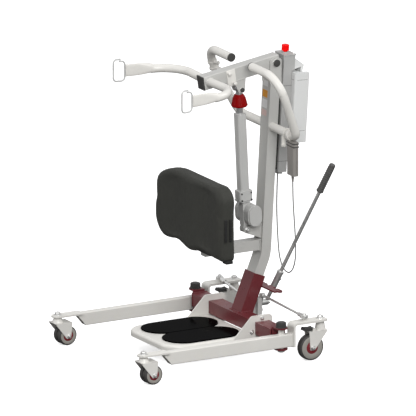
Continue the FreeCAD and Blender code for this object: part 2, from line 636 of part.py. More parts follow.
def mast_socket():
    """Socket that grips the foot of the mast on the cross beam, with a rear gusset."""
    wall = size("socket_wall")
    outline_out = mast_outline(-wall, size("socket_down"), 0)
    outline_in = mast_outline(0, size("socket_down") + 40, 0)
    long = size("socket_long")

    def stub(corners, start, width):
        front, back = corners[2], corners[3]
        along = V(0, math.sin(math.radians(size("foot_lean"))), math.cos(math.radians(size("foot_lean"))))
        points = [front, back, back + along * start, front + along * start, front]
        face = Part.Face(Part.makePolygon(points))
        face.translate(V(-width / 2, 0, 0))
        return face.extrude(V(width, 0, 0))

    outer = doc.addObject("Part::Feature", "socket_outer")
    outer.Shape = stub(outline_out, long, size("mast_wide") + 2 * wall)
    inner = doc.addObject("Part::Feature", "socket_inner")
    inner.Shape = stub(outline_in, long + 80, size("mast_wide"))
    beam = box("socket_beam", "200", "dims.beam_deep", "dims.beam_tall", "-100",
               "dims.beam_y - dims.beam_deep / 2", "dims.beam_base")
    gate = box("lock_gate", "145", "34", "6", "-10", "238", "218")
    nose = rod("lock_gate_nose", "10", "6", "135", "261", "218")
    notch = box("lock_notch", "18", "14", "10", "26", "262", "216")
    side_notch = box("lock_notch_side", "18", "14", "10", "84", "262", "216")
    shell = cut("mast_socket", fuse("mast_socket", outer, gate, nose), inner, beam, notch,
                side_notch)
    keep("mast_socket", shell)
    gusset = plate("socket_gusset", "YZ_Plane",
                   [("dims.beam_y + dims.beam_deep / 2", "dims.beam_base"), ("240", "dims.beam_base"),
                    ("240", "200"), ("dims.beam_y + 62", "200"),
                    ("dims.beam_y + dims.beam_deep / 2", "152")], "8", "-4")
    block = box("lever_block", "44", "18", "64", "-22", "232", "dims.lever_z - 40")
    pin = rod("lever_pin", "7", "56", "0", "233", "dims.lever_z", along="y")
    keep("spreader_mount", cut("spreader_mount", fuse("spreader_mount", gusset, block, pin), outer))


# ------------------------------------------------------------ boom and slings

def boom():
    """Boom tube with its clevis plates, end cap and pins."""
    outer = box("boom_outer", "dims.boom_wide", "dims.boom_front + dims.boom_back",
                "dims.boom_tall", "-dims.boom_wide / 2", "-dims.boom_front", "-dims.boom_tall / 2")
    soft = rounded("boom", outer, 4, lambda edge: runs_along(edge, V(0, 1, 0)))
    inner = box("boom_inner", "dims.boom_wide - 2 * dims.boom_wall",
                "dims.boom_front + dims.boom_back + 2", "dims.boom_tall - 2 * dims.boom_wall",
                "-dims.boom_wide / 2 + dims.boom_wall", "-dims.boom_front - 1",
                "-dims.boom_tall / 2 + dims.boom_wall")
    plates = []
    for side, tag in ((1, "left"), (-1, "right")):
        start = "dims.boom_wide / 2 - 4" if side > 0 else "-dims.boom_wide / 2"
        cheek = plate(f"clevis_{tag}", "YZ_Plane",
                      [("-180", "-24"), ("-165", "-77"), ("-141", "-77"), ("-130", "-24")], "4",
                      start)
        round_pad(cheek, f"clevis_{tag}", "9", V(1, 0, 0), lambda middle: middle.z < -50)
        plates.append(cheek)
    hole = rod("boom_hole", "dims.boom_pin_radius + 0.05", "100", "-50", along="x")
    shell = cut("boom_tube", soft, inner)
    pin_hole = rod("clevis_hole", "6", "80", "-40", "-152.8", "-64.9", along="x")
    keep("boom", on_boom(cut("boom", fuse("boom", shell, *plates), hole, pin_hole)))

    cap = box("cap_face", "dims.boom_wide", "5", "dims.boom_tall", "-dims.boom_wide / 2",
              "-dims.boom_front - 5", "-dims.boom_tall / 2")
    eased = rounded("cap", cap, 2, lambda edge: edge.CenterOfMass.y < -size("boom_front") - 4.9)
    plug = box("cap_plug", "dims.boom_wide - 2 * dims.boom_wall", "14",
               "dims.boom_tall - 2 * dims.boom_wall", "-dims.boom_wide / 2 + dims.boom_wall",
               "-dims.boom_front", "-dims.boom_tall / 2 + dims.boom_wall")
    keep("boom_end_cap", on_boom(fuse("boom_end_cap", eased, plug)))

    stubs = []
    for side, tag in ((1, "left"), (-1, "right")):
        shank = rod(f"stub_{tag}", "6", "12", "12" if side > 0 else "-24", "-152.8", "-64.9",
                    along="x")
        head = rod(f"stub_head_{tag}", "8", "4", "23" if side > 0 else "-27", "-152.8", "-64.9",
                   along="x")
        stubs.append(fuse(f"clevis_stub_{tag}", shank, head))
    keep("clevis_pins", on_boom(group("clevis_pins", *stubs)))

    pin = rod("boom_shaft", "dims.boom_pin_radius", "64", "-32", along="x")
    heads = [rod(f"boom_shaft_head_{tag}", "13", "6", start, along="x")
             for tag, start in (("left", "30"), ("right", "-36"))]
    keep("boom_pin", on_boom(fuse("boom_pin", pin, *heads)))


def arm_points(side):
    """Corners of one sling arm's centre line, from the boom's side to its tip."""
    return [V(side * size("boom_wide") / 2, size("arm_root_y"), size("arm_root_z")),
            V(side * size("arm_out"), size("arm_root_y"), size("arm_root_z") + 6),
            V(side * size("arm_tip_x"), size("arm_tip_y"), size("arm_tip_z"))]


def sling_arms():
    """Two bent arms with flattened tips, the wire sling hooks, and a peg plate on the boom."""
    arms = []
    hooks = []
    strip_long = 34
    for side, tag in ((1, "left"), (-1, "right")):
        points = arm_points(side)
        tube = bent_tube(f"sling_tube_{tag}", points, [size("arm_bend")], size("arm_radius"),
                         size("arm_wall"))
        ahead = (points[2] - points[1]).normalize()
        yaw = math.degrees(math.atan2(ahead.x, -ahead.y))
        turn = FreeCAD.Rotation(V(0, 0, 1), yaw)
        strip = doc.addObject("Part::Feature", f"sling_strip_{tag}")
        blade = Part.makeBox(7, strip_long + 16, 46, V(-3.5, -strip_long, -23))
        strip.Shape = blade
        strip.Placement = FreeCAD.Placement(points[2], turn)
        plug = doc.addObject("Part::Feature", f"sling_plug_{tag}")
        plug.Shape = Part.makeCylinder(size("arm_radius"), 8, points[2] - ahead * 6, ahead)
        arms.append(fuse(f"sling_arm_{tag}", tube, strip, plug))
        half_wide = (size("hook_wide") - 2 * size("hook_wire")) / 2
        half_tall = (size("hook_tall") - 2 * size("hook_wire")) / 2
        middle = -strip_long - size("hook_wide") / 2
        outline = [(0, half_tall), (half_wide, half_tall), (half_wide, -half_tall),
                   (-half_wide, -half_tall), (-half_wide, half_tall + 8), (6, half_tall + 8)]
        wire = bent_wire([V(0, middle + across, up) for across, up in outline], [13, 14, 14, 13])
        loop = doc.addObject("Part::Feature", f"sling_loop_{tag}")
        loop.Shape = swept(wire, size("hook_wire"))
        loop.Placement = FreeCAD.Placement(points[2], turn)
        hooks.append(loop)
    peg_plate = box("peg_plate", "3", "36", "62", "dims.boom_wide / 2", "-208", "-38")
    pegs = [rod(f"boom_peg_{number}", "5", "20", "dims.boom_wide / 2", across, up, along="x")
            for number, (across, up) in enumerate((("-200", "14"), ("-184", "-28")))]
    plate_on_boom = on_boom(fuse("peg_plate", peg_plate, *pegs))
    keep("sling_arms", group("sling_arms", *arms, plate_on_boom))
    keep("sling_hooks", group("sling_hooks", *hooks))


# ----------------------------------------------------------------- actuator

def ram():
    """Electric ram: outer tube, gear housing with motor, piston and red release cup."""
    shell = box("ram_shell", "dims.ram_tube_x", "dims.ram_tube_y",
                "dims.ram_tube_end - dims.ram_tube_start", "-dims.ram_tube_x / 2",
                "-dims.ram_tube_y / 2", "dims.ram_tube_start")
    soft = rounded("ram_tube", shell, 7, lambda edge: runs_along(edge, V(0, 0, 1)))
    bore = rod("ram_bore_hole", "dims.ram_bore", "400", z="dims.ram_tube_start + 6")
    keep("ram_tube", on_ram(cut("ram_tube", soft, bore)))

    collar = box("ram_collar", "46", "54", "42", "-23", "-26", "dims.ram_tube_start - 42")
    eased = rounded("ram_collar", collar, 8, lambda edge: runs_along(edge, V(0, 0, 1)))
    neck = box("ram_neck", "30", "30", "94", "-15", "-12", "16")
    lug = rod("ram_lug", "12", "24", "-12", along="x")
    tongue = box("ram_tongue", "24", "24", "24", "-12", "-12", "0")
    cans = []
    for number, up in enumerate(("45", "69")):
        cans.append(rod(f"ram_motor_can_{number}", "dims.motor_radius", "100", "-50",
                        "dims.motor_y", up, along="x"))
        cans.append(rod(f"ram_motor_cap_{number}", "dims.motor_radius - 3", "6", "50",
                        "dims.motor_y", up, along="x"))
    cans.append(box("ram_motor_waist", "100", "2 * dims.motor_radius", "24", "-50",
                    "dims.motor_y - dims.motor_radius", "45"))
    cans.append(box("ram_cap_waist", "6", "2 * dims.motor_radius - 6", "24", "50",
                    "dims.motor_y + 3 - dims.motor_radius", "45"))
    hole = rod("ram_lug_hole", "6.05", "40", "-20", along="x")
    keep("ram_motor", on_ram(cut("ram_motor", fuse("ram_motor", eased, neck, lug, tongue,
                                                   *cans), hole)))
    foot_pin = rod("ram_foot_shaft", "6", "44", "-22", along="x")
    keep("ram_foot_pin", on_ram(group("ram_foot_pin", foot_pin)))

    shaft = rod("piston_shaft", "dims.ram_rod", "dims.ram_long - 290", z="280")
    eye = rod("piston_eye", "13", "20", "-10", z="dims.ram_long", along="x")
    keep("piston_rod", on_ram(fuse("piston_rod", shaft, eye)))
    cup = cone("cup_skirt", "30", "22", "33", z="479")
    crown = cone("cup_crown", "22", "16", "9", z="512")
    rim_ring = cone("cup_rim", "28", "30", "5", z="474")
    well = rod("cup_well", "dims.ram_rod", "80", z="460")
    keep("release_cup", on_ram(cut("release_cup", fuse("release_cup", cup, crown, rim_ring), well)))


# ----------------------------------------------------------------- knee pad

def knee_rest():
    """Sliding arm, back plate and padded knee rest."""
    outer = box("knee_bar", "dims.knee_tube", "237", "dims.knee_tube", "-dims.knee_tube / 2",
                "11", "dims.knee_z - dims.knee_tube / 2")
    inner = box("knee_bore", "dims.knee_tube - 6", "240", "dims.knee_tube - 6",
                "-dims.knee_tube / 2 + 3", "20", "dims.knee_z - dims.knee_tube / 2 + 3")
    keep("knee_arm", cut("knee_arm", outer, inner))
    back = plate("knee_back", "XZ_Plane",
                 [("-70", "374"), ("70", "374"), ("190", "440"), ("190", "600"), ("-190", "600"),
                  ("-190", "440")], "6", "5")
    round_pad(back, "knee_back", "24", V(0, 1, 0))
    keep("knee_plate", back)
    pad = box("knee_cushion", "dims.knee_pad_wide", "dims.knee_pad_thick - 3",
              "dims.knee_pad_top - dims.knee_pad_base", "-dims.knee_pad_wide / 2", "-44",
              "dims.knee_pad_base")
    corners = rounded("knee_corner", pad, 74, lambda edge: runs_along(edge, V(0, 1, 0)))
    keep("knee_pad", rounded("knee_pad", corners, 12,
                             lambda edge: abs(edge.CenterOfMass.y + 44) < 0.1))


# -------------------------------------------------------------- electrics

def electrics():
    """Control box on rails behind the mast, battery pack, latch and emergency stop."""
    rails = [box(f"rail_{tag}", "8", "dims.box_front - dims.mast_deep / 2", "360", start,
                 "dims.mast_deep / 2", "320") for tag, start in (("left", "16"), ("right", "-24"))]
    keep("box_rails", on_mast(group("box_rails", *rails)))

    long_box = box("box_body", "2 * dims.box_half", "dims.box_back - dims.box_front",
                   "dims.box_high - dims.box_low", "-dims.box_half", "dims.box_front",
                   "dims.box_low")
    head = box("box_head", "2 * dims.box_half", "dims.box_back - dims.box_front + 12",
               "dims.box_high - dims.battery_high - 6", "-dims.box_half", "dims.box_front",
               "dims.battery_high + 6")
    soft = rounded("control_box", fuse("box_shell", long_box, head), 3,
                   lambda edge: runs_along(edge, V(0, 0, 1)))
    gland = rod("cable_gland", "6", "12", "0", "48", "dims.box_low - 12")
    nub = rod("box_socket", "9", "8", "20", "46", "dims.box_low - 8")
    well = rod("stop_well", "7.4", "12", "0", "53", "dims.box_high - 10")
    keep("control_box", on_mast(cut("control_box", fuse("control_box", soft, gland, nub), well)))
    lid = box("box_lid", "2 * dims.box_half + 4", "54", "4", "-dims.box_half - 2",
              "dims.box_front - 2", "dims.box_high")
    hole = rod("lid_hole", "7.4", "20", "0", "53", "dims.box_high - 5")
    collar = rod("stop_collar_ring", "12", "4", "0", "53", "dims.box_high + 4")
    keep("box_lid", on_mast(cut("box_lid", fuse("box_lid", rounded(
        "box_lid", lid, 6, lambda edge: runs_along(edge, V(0, 0, 1))), collar), hole)))

    pack = box("battery_shell", "2 * dims.battery_half", "dims.battery_deep",
               "dims.battery_high - dims.battery_low", "-dims.battery_half",
               "dims.box_back + 0.3", "dims.battery_low")
    eased = rounded("battery_pack", pack, 7, lambda edge: runs_along(edge, V(0, 0, 1)))
    recess = box("battery_recess", "80", "40", "16", "-40", "dims.box_back + 30",
                 "dims.battery_high - 16")
    keep("battery_pack", on_mast(cut("battery_pack", eased, recess)))
    latch = plate("battery_latch", "YZ_Plane",
                  [("78.3", "742"), ("118", "714"), ("110", "676"), ("103", "676"), ("106", "708"),
                   ("78.3", "700")], "64", "-32")
    round_pad(latch, "battery_latch", "2.5", V(1, 0, 0))
    keep("battery_latch", on_mast(group("battery_latch", latch)))

    stem = rod("stop_stem", "7", "18", "0", "53", "dims.box_high - 3")
    cap = rod("stop_cap", "dims.button_radius", "22", "0", "53", "dims.box_high + 13")
    keep("stop_button", on_mast(fuse("stop_button", stem, rounded(
        "stop_cap", cap, 3, lambda edge: edge.CenterOfMass.z > size("box_high") + 20))))


# ------------------------------------------------------------ push handle

def handle_points(side):
    """Corners of one half of the push handle, from the grip's inner end to the cross bar."""
    half = side * size("handle_half")
    return [V(side * size("grip_in"), size("grip_y"), size("grip_z")),
            V(half, size("grip_y"), size("grip_z")),
            V(half, size("handle_knee_y"), size("handle_knee_z")),
            V(side * size("bar_half"), size("bar_y"), size("bar_z"))]


def push_handle():
    """One bent tube: grip, side arm, cross bar through the mast, side arm, grip."""
    points = handle_points(1) + handle_points(-1)[::-1]
    keep("push_handle", bent_tube("push_handle", points, [75, 200, 40, 40, 200, 75],
                                  size("handle_radius"), size("handle_wall")))
    caps = []
    for side, tag in ((1, "left"), (-1, "right")):
        start = "dims.grip_in - 4" if side > 0 else "-dims.grip_in"
        caps.append(rod(f"grip_cap_{tag}", "dims.handle_radius + 0.4", "4", start, "dims.grip_y",
                        "dims.grip_z", along="x"))
    keep("grip_caps", group("grip_caps", *caps))
    clamp = rod("clamp_ring", "dims.handle_radius + 4", "14", "dims.strap_x - 7", "dims.bar_y",
                "dims.bar_z", along="x")
    bore = rod("clamp_bore", "dims.handle_radius", "20", "dims.strap_x - 10", "dims.bar_y",
               "dims.bar_z", along="x")
    tab = box("clamp_tab", "4", "16", "40", "dims.strap_x - 2", "dims.bar_y - 24",
              "dims.bar_z - 48")
    peg = rod("clamp_peg", "6", "18", "dims.strap_x - 9", "dims.bar_y - 16", "dims.bar_z - 42",
              along="x")
    keep("strap_hooks", cut("strap_hook", fuse("strap_hook", clamp, tab, peg), bore))


# ------------------------------------------------------------- handset

def handset():
    """Hand control that hangs from the cross bar, its two buttons and its cable."""
    left = "dims.handset_x - dims.handset_wide / 2"
    front = "dims.handset_y - dims.handset_deep / 2"
    shell = box("handset_shell", "dims.handset_wide", "dims.handset_deep", "dims.handset_tall",
                left, front, "dims.handset_base")
    soft = rounded("handset", shell, 8, lambda edge: runs_along(edge, V(0, 0, 1)))
    ring = rod("handset_ring", "dims.handle_radius + 4", "18", "dims.handset_x - 30",
               "dims.bar_y", "dims.bar_z", along="x")
    bore = rod("handset_ring_bore", "dims.handle_radius", "40", "dims.handset_x - 40",
               "dims.bar_y", "dims.bar_z", along="x")
    relief = cone("handset_relief", "3.5", "6", "26", "dims.handset_x", "dims.handset_y",
                  "dims.handset_base - 26")
    pockets = []
    for name, up in (("up", "88"), ("down", "60")):
        pockets.append(box(f"pocket_{name}", "30.8", "6", "20.8", "dims.handset_x - 15.4",
                           f"{front} + dims.handset_deep - 6", f"dims.handset_base + {up} - 0.4"))
        key = box(f"key_{name}", "30", "7.5", "20", "dims.handset_x - 15",
                  f"{front} + dims.handset_deep - 4", f"dims.handset_base + {up}")
        keep(f"button_{name}", rounded(f"button_{name}", key, 2,
                                       lambda edge: runs_along(edge, V(0, 1, 0))))
    keep("handset", cut("handset", fuse("handset", soft, ring, relief), bore, *pockets))

    route = [V(0, 328.6, 634.6), V(2, 325, 574), V(10, 319, 515), V(24, 313, 455),
             V(44, 305, 397), V(68, 296, 346), V(98, 289, 314), V(132, 285, 297),
             V(166, 283, 296), V(196, 283, 318), V(213, 284, 362), V(213, 284.5, 420),
             V(205, 285, 480), V(197, 285, 540), V(191, 285, 598), V(190, 285, 652)]
    radii = []
    for number in range(1, len(route) - 1):
        back = route[number - 1] - route[number]
        ahead = route[number + 1] - route[number]
        turn = math.pi - back.getAngle(ahead)
        radii.append(0.45 * min(back.Length, ahead.Length) / math.tan(turn / 2))
    wire = bent_wire(route, radii)
    cable = doc.addObject("Part::Feature", "handset_cable")
    cable.Shape = swept(wire, size("cable_radius"))
    expected = math.pi * size("cable_radius") ** 2 * wire.Length
    print("handset cable", round(wire.Length, 1), "mm, tightest bend", round(min(radii), 1),
          "volume ratio", round(cable.Shape.Volume / expected, 3))
    keep("handset_cable", cable)


# ------------------------------------------------------------ base spreader

def spreader():
    """Lever that opens the legs, with its crank, grip and two tie rods."""
    foot = V(0, size("lever_y") + 4, size("lever_z"))
    top = V(size("lever_top_x"), size("lever_top_y"), size("lever_top_z"))
    ahead = (top - foot).normalize()
    long = (top - foot).Length

    stem = doc.addObject("Part::Feature", "lever_stem")
    stem.Shape = Part.makeCylinder(size("lever_radius"), long - size("grip_long"), foot, ahead)
    sleeve = doc.addObject("Part::Feature", "lever_sleeve")
    sleeve.Shape = Part.makeCylinder(12, 62, foot + ahead * 66, ahead)
    hub = rod("lever_hub", "12", "33", "0", "251", "dims.lever_z", along="y")
    crank = doc.addObject("Part::Feature", "crank_bar")
    reach = size("crank_radius") + 10
    bar = Part.makeBox(22, 6, 2 * reach, V(-11, 0, -reach))
    crank.Shape = bar.makeFillet(10.5, [edge for edge in bar.Edges if runs_along(edge, V(0, 1, 0))])
    crank.Placement = FreeCAD.Placement(V(0, 251, size("lever_z")),
                                        FreeCAD.Rotation(V(0, 1, 0), size("crank_lean")))
    lean_angle = math.radians(size("crank_lean"))
    pins = []
    for sign, tag in ((1, "left"), (-1, "right")):
        x = sign * size("crank_radius") * math.sin(lean_angle)
        z = size("lever_z") + sign * size("crank_radius") * math.cos(lean_angle)
        pin = doc.addObject("Part::Feature", f"crank_pin_{tag}")
        pin.Shape = Part.makeCylinder(4, 11, V(x, 256, z), V(0, 1, 0))
        pins.append(pin)
        rod_end(sign, tag, x, z)
    hole = rod("lever_hub_hole", "7.05", "80", "0", "230", "dims.lever_z", along="y")
    keep("spreader_lever", cut("spreader_lever", fuse("spreader_lever", stem, sleeve, hub, crank,
                                                      *pins), hole))
    grip = doc.addObject("Part::Feature", "lever_grip")
    long_grip = size("grip_long")
    solid = Part.makeCylinder(size("grip_radius"), long_grip, top - ahead * long_grip, ahead)
    grip.Shape = solid.makeFillet(5, [solid.Edges[0]])
    keep("lever_grip", grip)


def rod_end(sign, tag, x, z):
    """Tie rod from one crank pin to the stud on one leg's rear bracket."""
    eye_z = size("rear_plate_top") + 9
    inner = V(x, 262, z)
    outer = V(sign * size("stud_x"), size("stud_y"), eye_z + 4)
    ahead = (outer - inner).normalize()
    near = Part.makeCylinder(10, 8, V(x, 258, z), V(0, 1, 0))
    near = near.cut(Part.makeCylinder(7, 8, V(x, 258, z), V(0, 1, 0)))
    far = Part.makeCylinder(15, 8, V(outer.x, outer.y, eye_z), V(0, 0, 1))
    far = far.cut(Part.makeCylinder(9.5, 8, V(outer.x, outer.y, eye_z), V(0, 0, 1)))
    start = inner + ahead * 8.5
    bar = Part.makeCylinder(size("rod_radius"), (outer - ahead * 12 - start).Length, start, ahead)
    nut = Part.makeCylinder(8, 26, outer - ahead * 40, ahead)
    tie = doc.addObject("Part::Feature", f"tie_rod_{tag}_bar")
    tie.Shape = near.fuse([far, bar, nut]).removeSplitter()
    keep(f"tie_rod_{tag}", tie)


base_frame()
for hand in (1, -1):
    leg(hand)
    casters(hand)
mast()
mast_socket()
boom()
sling_arms()
ram()
knee_rest()
electrics()
push_handle()
handset()
spreader()
doc.recompute()

for item in doc.Objects:
    if "Invalid" in item.State or "Error" in item.State:
        raise RuntimeError(f"{item.Name} did not build: {item.State}")
for label, piece in NODES.items():
    shape = piece.Shape
    if shape.isNull() or not shape.isValid():
        raise RuntimeError(f"{label} is not a sound solid")
    shape.exportStep(f"parts/{label}.step")
print(len(NODES), "nodes written")
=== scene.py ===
"""Look of the sit-to-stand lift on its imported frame: finishes, knee cushion, cable and hardware.

Lengths are in metres. The patient stands on the -Y side, the attendant on the +Y side, +X is the
attendant's left-hand side and +Z is up. Parts on the mast, boom and ram are placed in those
sub-assemblies' own leaning frames, whose origins are their lower or hinge pins.
"""
import bpy
import bmesh
import json
import math
from mathutils import Matrix, Vector, noise


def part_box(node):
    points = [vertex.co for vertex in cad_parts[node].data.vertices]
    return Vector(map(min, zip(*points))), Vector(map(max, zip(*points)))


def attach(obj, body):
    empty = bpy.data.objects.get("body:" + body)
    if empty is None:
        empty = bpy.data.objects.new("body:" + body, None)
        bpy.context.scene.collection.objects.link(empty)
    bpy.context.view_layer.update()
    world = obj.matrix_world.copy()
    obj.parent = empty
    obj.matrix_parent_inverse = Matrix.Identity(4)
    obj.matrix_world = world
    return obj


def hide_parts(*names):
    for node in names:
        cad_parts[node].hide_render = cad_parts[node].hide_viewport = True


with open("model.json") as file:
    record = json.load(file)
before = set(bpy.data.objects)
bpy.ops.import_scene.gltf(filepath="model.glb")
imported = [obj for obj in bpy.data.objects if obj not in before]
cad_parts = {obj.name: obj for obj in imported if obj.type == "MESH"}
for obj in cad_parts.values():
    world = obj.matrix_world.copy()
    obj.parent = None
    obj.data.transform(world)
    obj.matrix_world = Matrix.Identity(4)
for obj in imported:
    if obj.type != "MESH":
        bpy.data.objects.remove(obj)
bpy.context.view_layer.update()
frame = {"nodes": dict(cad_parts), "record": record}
NODES = frame["nodes"]
MM = 0.001
SIDES = ((1, "left"), (-1, "right"))
UP = Vector((0, 0, 1))


def leaning(place, degrees):
    """A sub-assembly's own frame: where its pin is, and its tip about X."""
    return Matrix.Translation(place) @ Matrix.Rotation(math.radians(degrees), 4, "X")


def box_centre(node):
    """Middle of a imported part's box."""
    low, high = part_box(node)
    return (low + high) / 2


MAST = leaning((0, 0.2575, 0.340), -3.4)
BOOM = leaning((0, 0.2995, 1.068), 8.2)
RAM = leaning((0, 0.1835, 0.440), 2.746)
LEVER_FOOT = Vector((0, 0.2735, 0.148))
LEVER_TOP = Vector((0.201, 0.4445, 0.700))
LEVER_AHEAD = (LEVER_TOP - LEVER_FOOT).normalized()


# ------------------------------------------------------------------- finishes

class Finish:
    """A Principled material built up from procedural layers in object space."""

    def __init__(self, name, color, rough, metal=0.0, coat=0.0, specular=0.5, sheen=0.0):
        self.material = bpy.data.materials.new(name)
        self.material.use_nodes = True
        self.tree = self.material.node_tree
        self.shader = self.tree.nodes["Principled BSDF"]
        self.color = (*color, 1.0)
        self.rough = rough
        self.bump = None
        for socket, value in (("Base Color", self.color), ("Roughness", rough),
                              ("Metallic", metal), ("Coat Weight", coat),
                              ("Coat Roughness", 0.12), ("Specular IOR Level", specular),
                              ("Sheen Weight", sheen)):
            self.shader.inputs[socket].default_value = value
        self.coords = self.node("ShaderNodeTexCoord").outputs["Object"]

    def node(self, kind, **settings):
        """A node with its properties and input values set."""
        made = self.tree.nodes.new(kind)
        for key, value in settings.items():
            if hasattr(made, key):
                setattr(made, key, value)
            else:
                made.inputs[key.replace("_", " ")].default_value = value
        return made

    def link(self, start, end):
        """Join an output socket to an input socket."""
        self.tree.links.new(start, end)
        return self

    def stretched(self, stretch):
        """Object coordinates scaled along each axis."""
        mapping = self.node("ShaderNodeMapping")
        mapping.inputs["Scale"].default_value = stretch
        self.link(self.coords, mapping.inputs["Vector"])
        return mapping.outputs["Vector"]

    def noise(self, scale, detail=3.0, stretch=(1, 1, 1), roughness=0.5):
        """A noise texture's value."""
        made = self.node("ShaderNodeTexNoise", Scale=scale, Detail=detail, Roughness=roughness)
        self.link(self.stretched(stretch), made.inputs["Vector"])
        return made.outputs["Fac"]

    def ranged(self, value, low, high, new_low=0.0, new_high=1.0):
        """A value mapped from one range to another."""
        made = self.node("ShaderNodeMapRange")
        for socket, number in (("From Min", low), ("From Max", high), ("To Min", new_low),
                               ("To Max", new_high)):
            made.inputs[socket].default_value = number
        self.link(value, made.inputs["Value"])
        return made.outputs["Result"]

    def blend(self, fac, top):
        """Lay a colour over what the shader has so far."""
        mix = self.node("ShaderNodeMix", data_type="RGBA")
        socket = self.shader.inputs["Base Color"]
        if socket.is_linked:
            self.link(socket.links[0].from_socket, mix.inputs[6])
        mix.inputs[6].default_value = self.color
        mix.inputs[7].default_value = (*top, 1.0)
        self.link(fac, mix.inputs[0])
        self.link(mix.outputs[2], socket)
        return self

    def mottle(self, scale, amount, detail=4.0, stretch=(1, 1, 1)):
        """Slow drift of the colour, lighter and darker."""
        value = self.noise(scale, detail, stretch)
        base = self.color[:3]
        dark = tuple(channel * (1 - amount) for channel in base)
        light = tuple(min(1.0, channel * (1 + amount)) for channel in base)
        self.blend(self.ranged(value, 0.42, 0.28), dark)
        return self.blend(self.ranged(value, 0.58, 0.74), light)

    def speckle(self, scale, color, amount):
        """Fine flecks of another colour."""
        return self.blend(self.ranged(self.noise(scale, 1.0), 0.60, 0.72, 0, amount), color)

    def gloss(self, scale, amount, stretch=(1, 1, 1)):
        """Roughness that varies a little across the surface."""
        value = self.noise(scale, 3.0, stretch)
        varied = self.ranged(value, 0.3, 0.7, self.rough - amount, self.rough + amount)
        return self.link(varied, self.shader.inputs["Roughness"])

    def height(self, value, depth, distance=MM):
        """Bump from a value, on top of any bump already there."""
        made = self.node("ShaderNodeBump", Strength=depth, Distance=distance)
        self.link(value, made.inputs["Height"])
        if self.bump:
            self.link(self.bump, made.inputs["Normal"])
        self.bump = made.outputs["Normal"]
        return self.link(self.bump, self.shader.inputs["Normal"])

    def grain(self, scale, depth, stretch=(1, 1, 1), detail=2.0):
        """Fine random relief, such as orange peel or moulded texture."""
        return self.height(self.noise(scale, detail, stretch), depth)

    def cells(self, scale, depth, stretch=(1, 1, 1)):
        """Pebbled relief, such as the grain of vinyl."""
        made = self.node("ShaderNodeTexVoronoi", feature="DISTANCE_TO_EDGE", Scale=scale)
        self.link(self.stretched(stretch), made.inputs["Vector"])
        return self.height(self.ranged(made.outputs["Distance"], 0.0, 0.12), depth)

    def wear_and_shade_edges(self, radius, color, amount, scale=60):
        """Broken patches of another colour on the edges: rubbed wear, and painted shade where darker.
        """
        bevel = self.node("ShaderNodeBevel", samples=4)
        bevel.inputs["Radius"].default_value = radius
        geometry = self.node("ShaderNodeNewGeometry")
        dot = self.node("ShaderNodeVectorMath", operation="DOT_PRODUCT")
        self.link(bevel.outputs["Normal"], dot.inputs[0])
        self.link(geometry.outputs["Normal"], dot.inputs[1])
        edge = self.ranged(dot.outputs["Value"], 0.995, 0.90)
        patch = self.ranged(self.noise(scale, 4.0), 0.42, 0.62)
        both = self.node("ShaderNodeMath", operation="MULTIPLY")
        self.link(edge, both.inputs[0])
        self.link(patch, both.inputs[1])
        scaled = self.node("ShaderNodeMath", operation="MULTIPLY")
        self.link(both.outputs[0], scaled.inputs[0])
        scaled.inputs[1].default_value = amount
        return self.blend(scaled.outputs[0], color)


def lighter(color, gain, lift=0.0):
    """A colour with each channel scaled and lifted, up to white."""
    return tuple(min(1.0, channel * gain + lift) for channel in color)


def painted(name, color, rough, edge_wear_and_shade_color=None):
    """Powder coat: orange peel, a slow drift of tone, and edge patches: darker by default as painted
    shade, a given lighter colour as rubbed wear.
    """
    finish = Finish(name, color, rough, coat=0.12)
    finish.mottle(7, 0.05)
    finish.gloss(40, 0.06)
    finish.grain(420, 0.10)
    finish.grain(60, 0.04)
    # By default the edges take a darker copy of the paint: painted shade along the edges, laid in
    # patches like wear.
    return finish.wear_and_shade_edges(0.0012, edge_wear_and_shade_color or lighter(color, 0.72), 0.55).material


def moulded(name, color, rough, depth=0.12, shine=0.4):
    """Moulded plastic with a fine spark-eroded grain."""
    finish = Finish(name, color, rough, specular=shine)
    finish.mottle(12, 0.06)
    finish.gloss(80, 0.05)
    finish.grain(1500, depth)
    return finish.wear_and_shade_edges(0.0008, lighter(color, 1.5, 0.02), 0.35).material


def bare_metal(name, color, rough, stretch, depth=0.05):
    """Plated or polished steel with fine drawn lines."""
    finish = Finish(name, color, rough, metal=1.0)
    finish.mottle(25, 0.10, stretch=stretch)
    finish.gloss(220, 0.08, stretch)
    finish.grain(700, depth, stretch)
    return finish.wear_and_shade_edges(0.0006, lighter(color, 1.25), 0.5).material


def vinyl():
    """Wipe-clean upholstery vinyl: pebbled grain, soft creases and a low sheen."""
    finish = Finish("knee_vinyl", (0.044, 0.0445, 0.039), 0.60, specular=0.16, sheen=0.02)
    finish.mottle(14, 0.10, stretch=(1, 1, 0.12))
    finish.speckle(900, (0.045, 0.045, 0.04), 0.35)
    finish.gloss(26, 0.09)
    finish.cells(620, 0.30)
    finish.grain(95, 0.15, (1, 1, 0.3), 4.0)
    return finish.wear_and_shade_edges(0.004, (0.05, 0.05, 0.045), 0.30, 30).material


def rubber(name, color, rough, grain=900, depth=0.2):
    """Rubber with a dull bloom and a fine skin."""
    finish = Finish(name, color, rough, specular=0.4)
    finish.mottle(18, 0.14)
    finish.speckle(700, lighter(color, 1.9, 0.02), 0.25)
    finish.gloss(50, 0.07)
    finish.grain(grain, depth)
    return finish.wear_and_shade_edges(0.0015, lighter(color, 1.4, 0.02), 0.5, 90).material


def tread_mat():
    """Smooth black rubber mat on the foot tray, with faint cross ribs."""
    finish = Finish("pad_black", (0.0008, 0.0008, 0.0009), 0.12, specular=0.003)
    finish.mottle(14, 0.30)
    finish.gloss(30, 0.035)
    wave = finish.node("ShaderNodeTexWave", bands_direction="Y", Scale=38.0, Distortion=0.0)
    finish.link(finish.coords, wave.inputs["Vector"])
    finish.height(wave.outputs["Fac"], 0.02)
    finish.grain(260, 0.03)
    return finish.wear_and_shade_edges(0.0012, (0.004, 0.004, 0.0045), 0.4).material


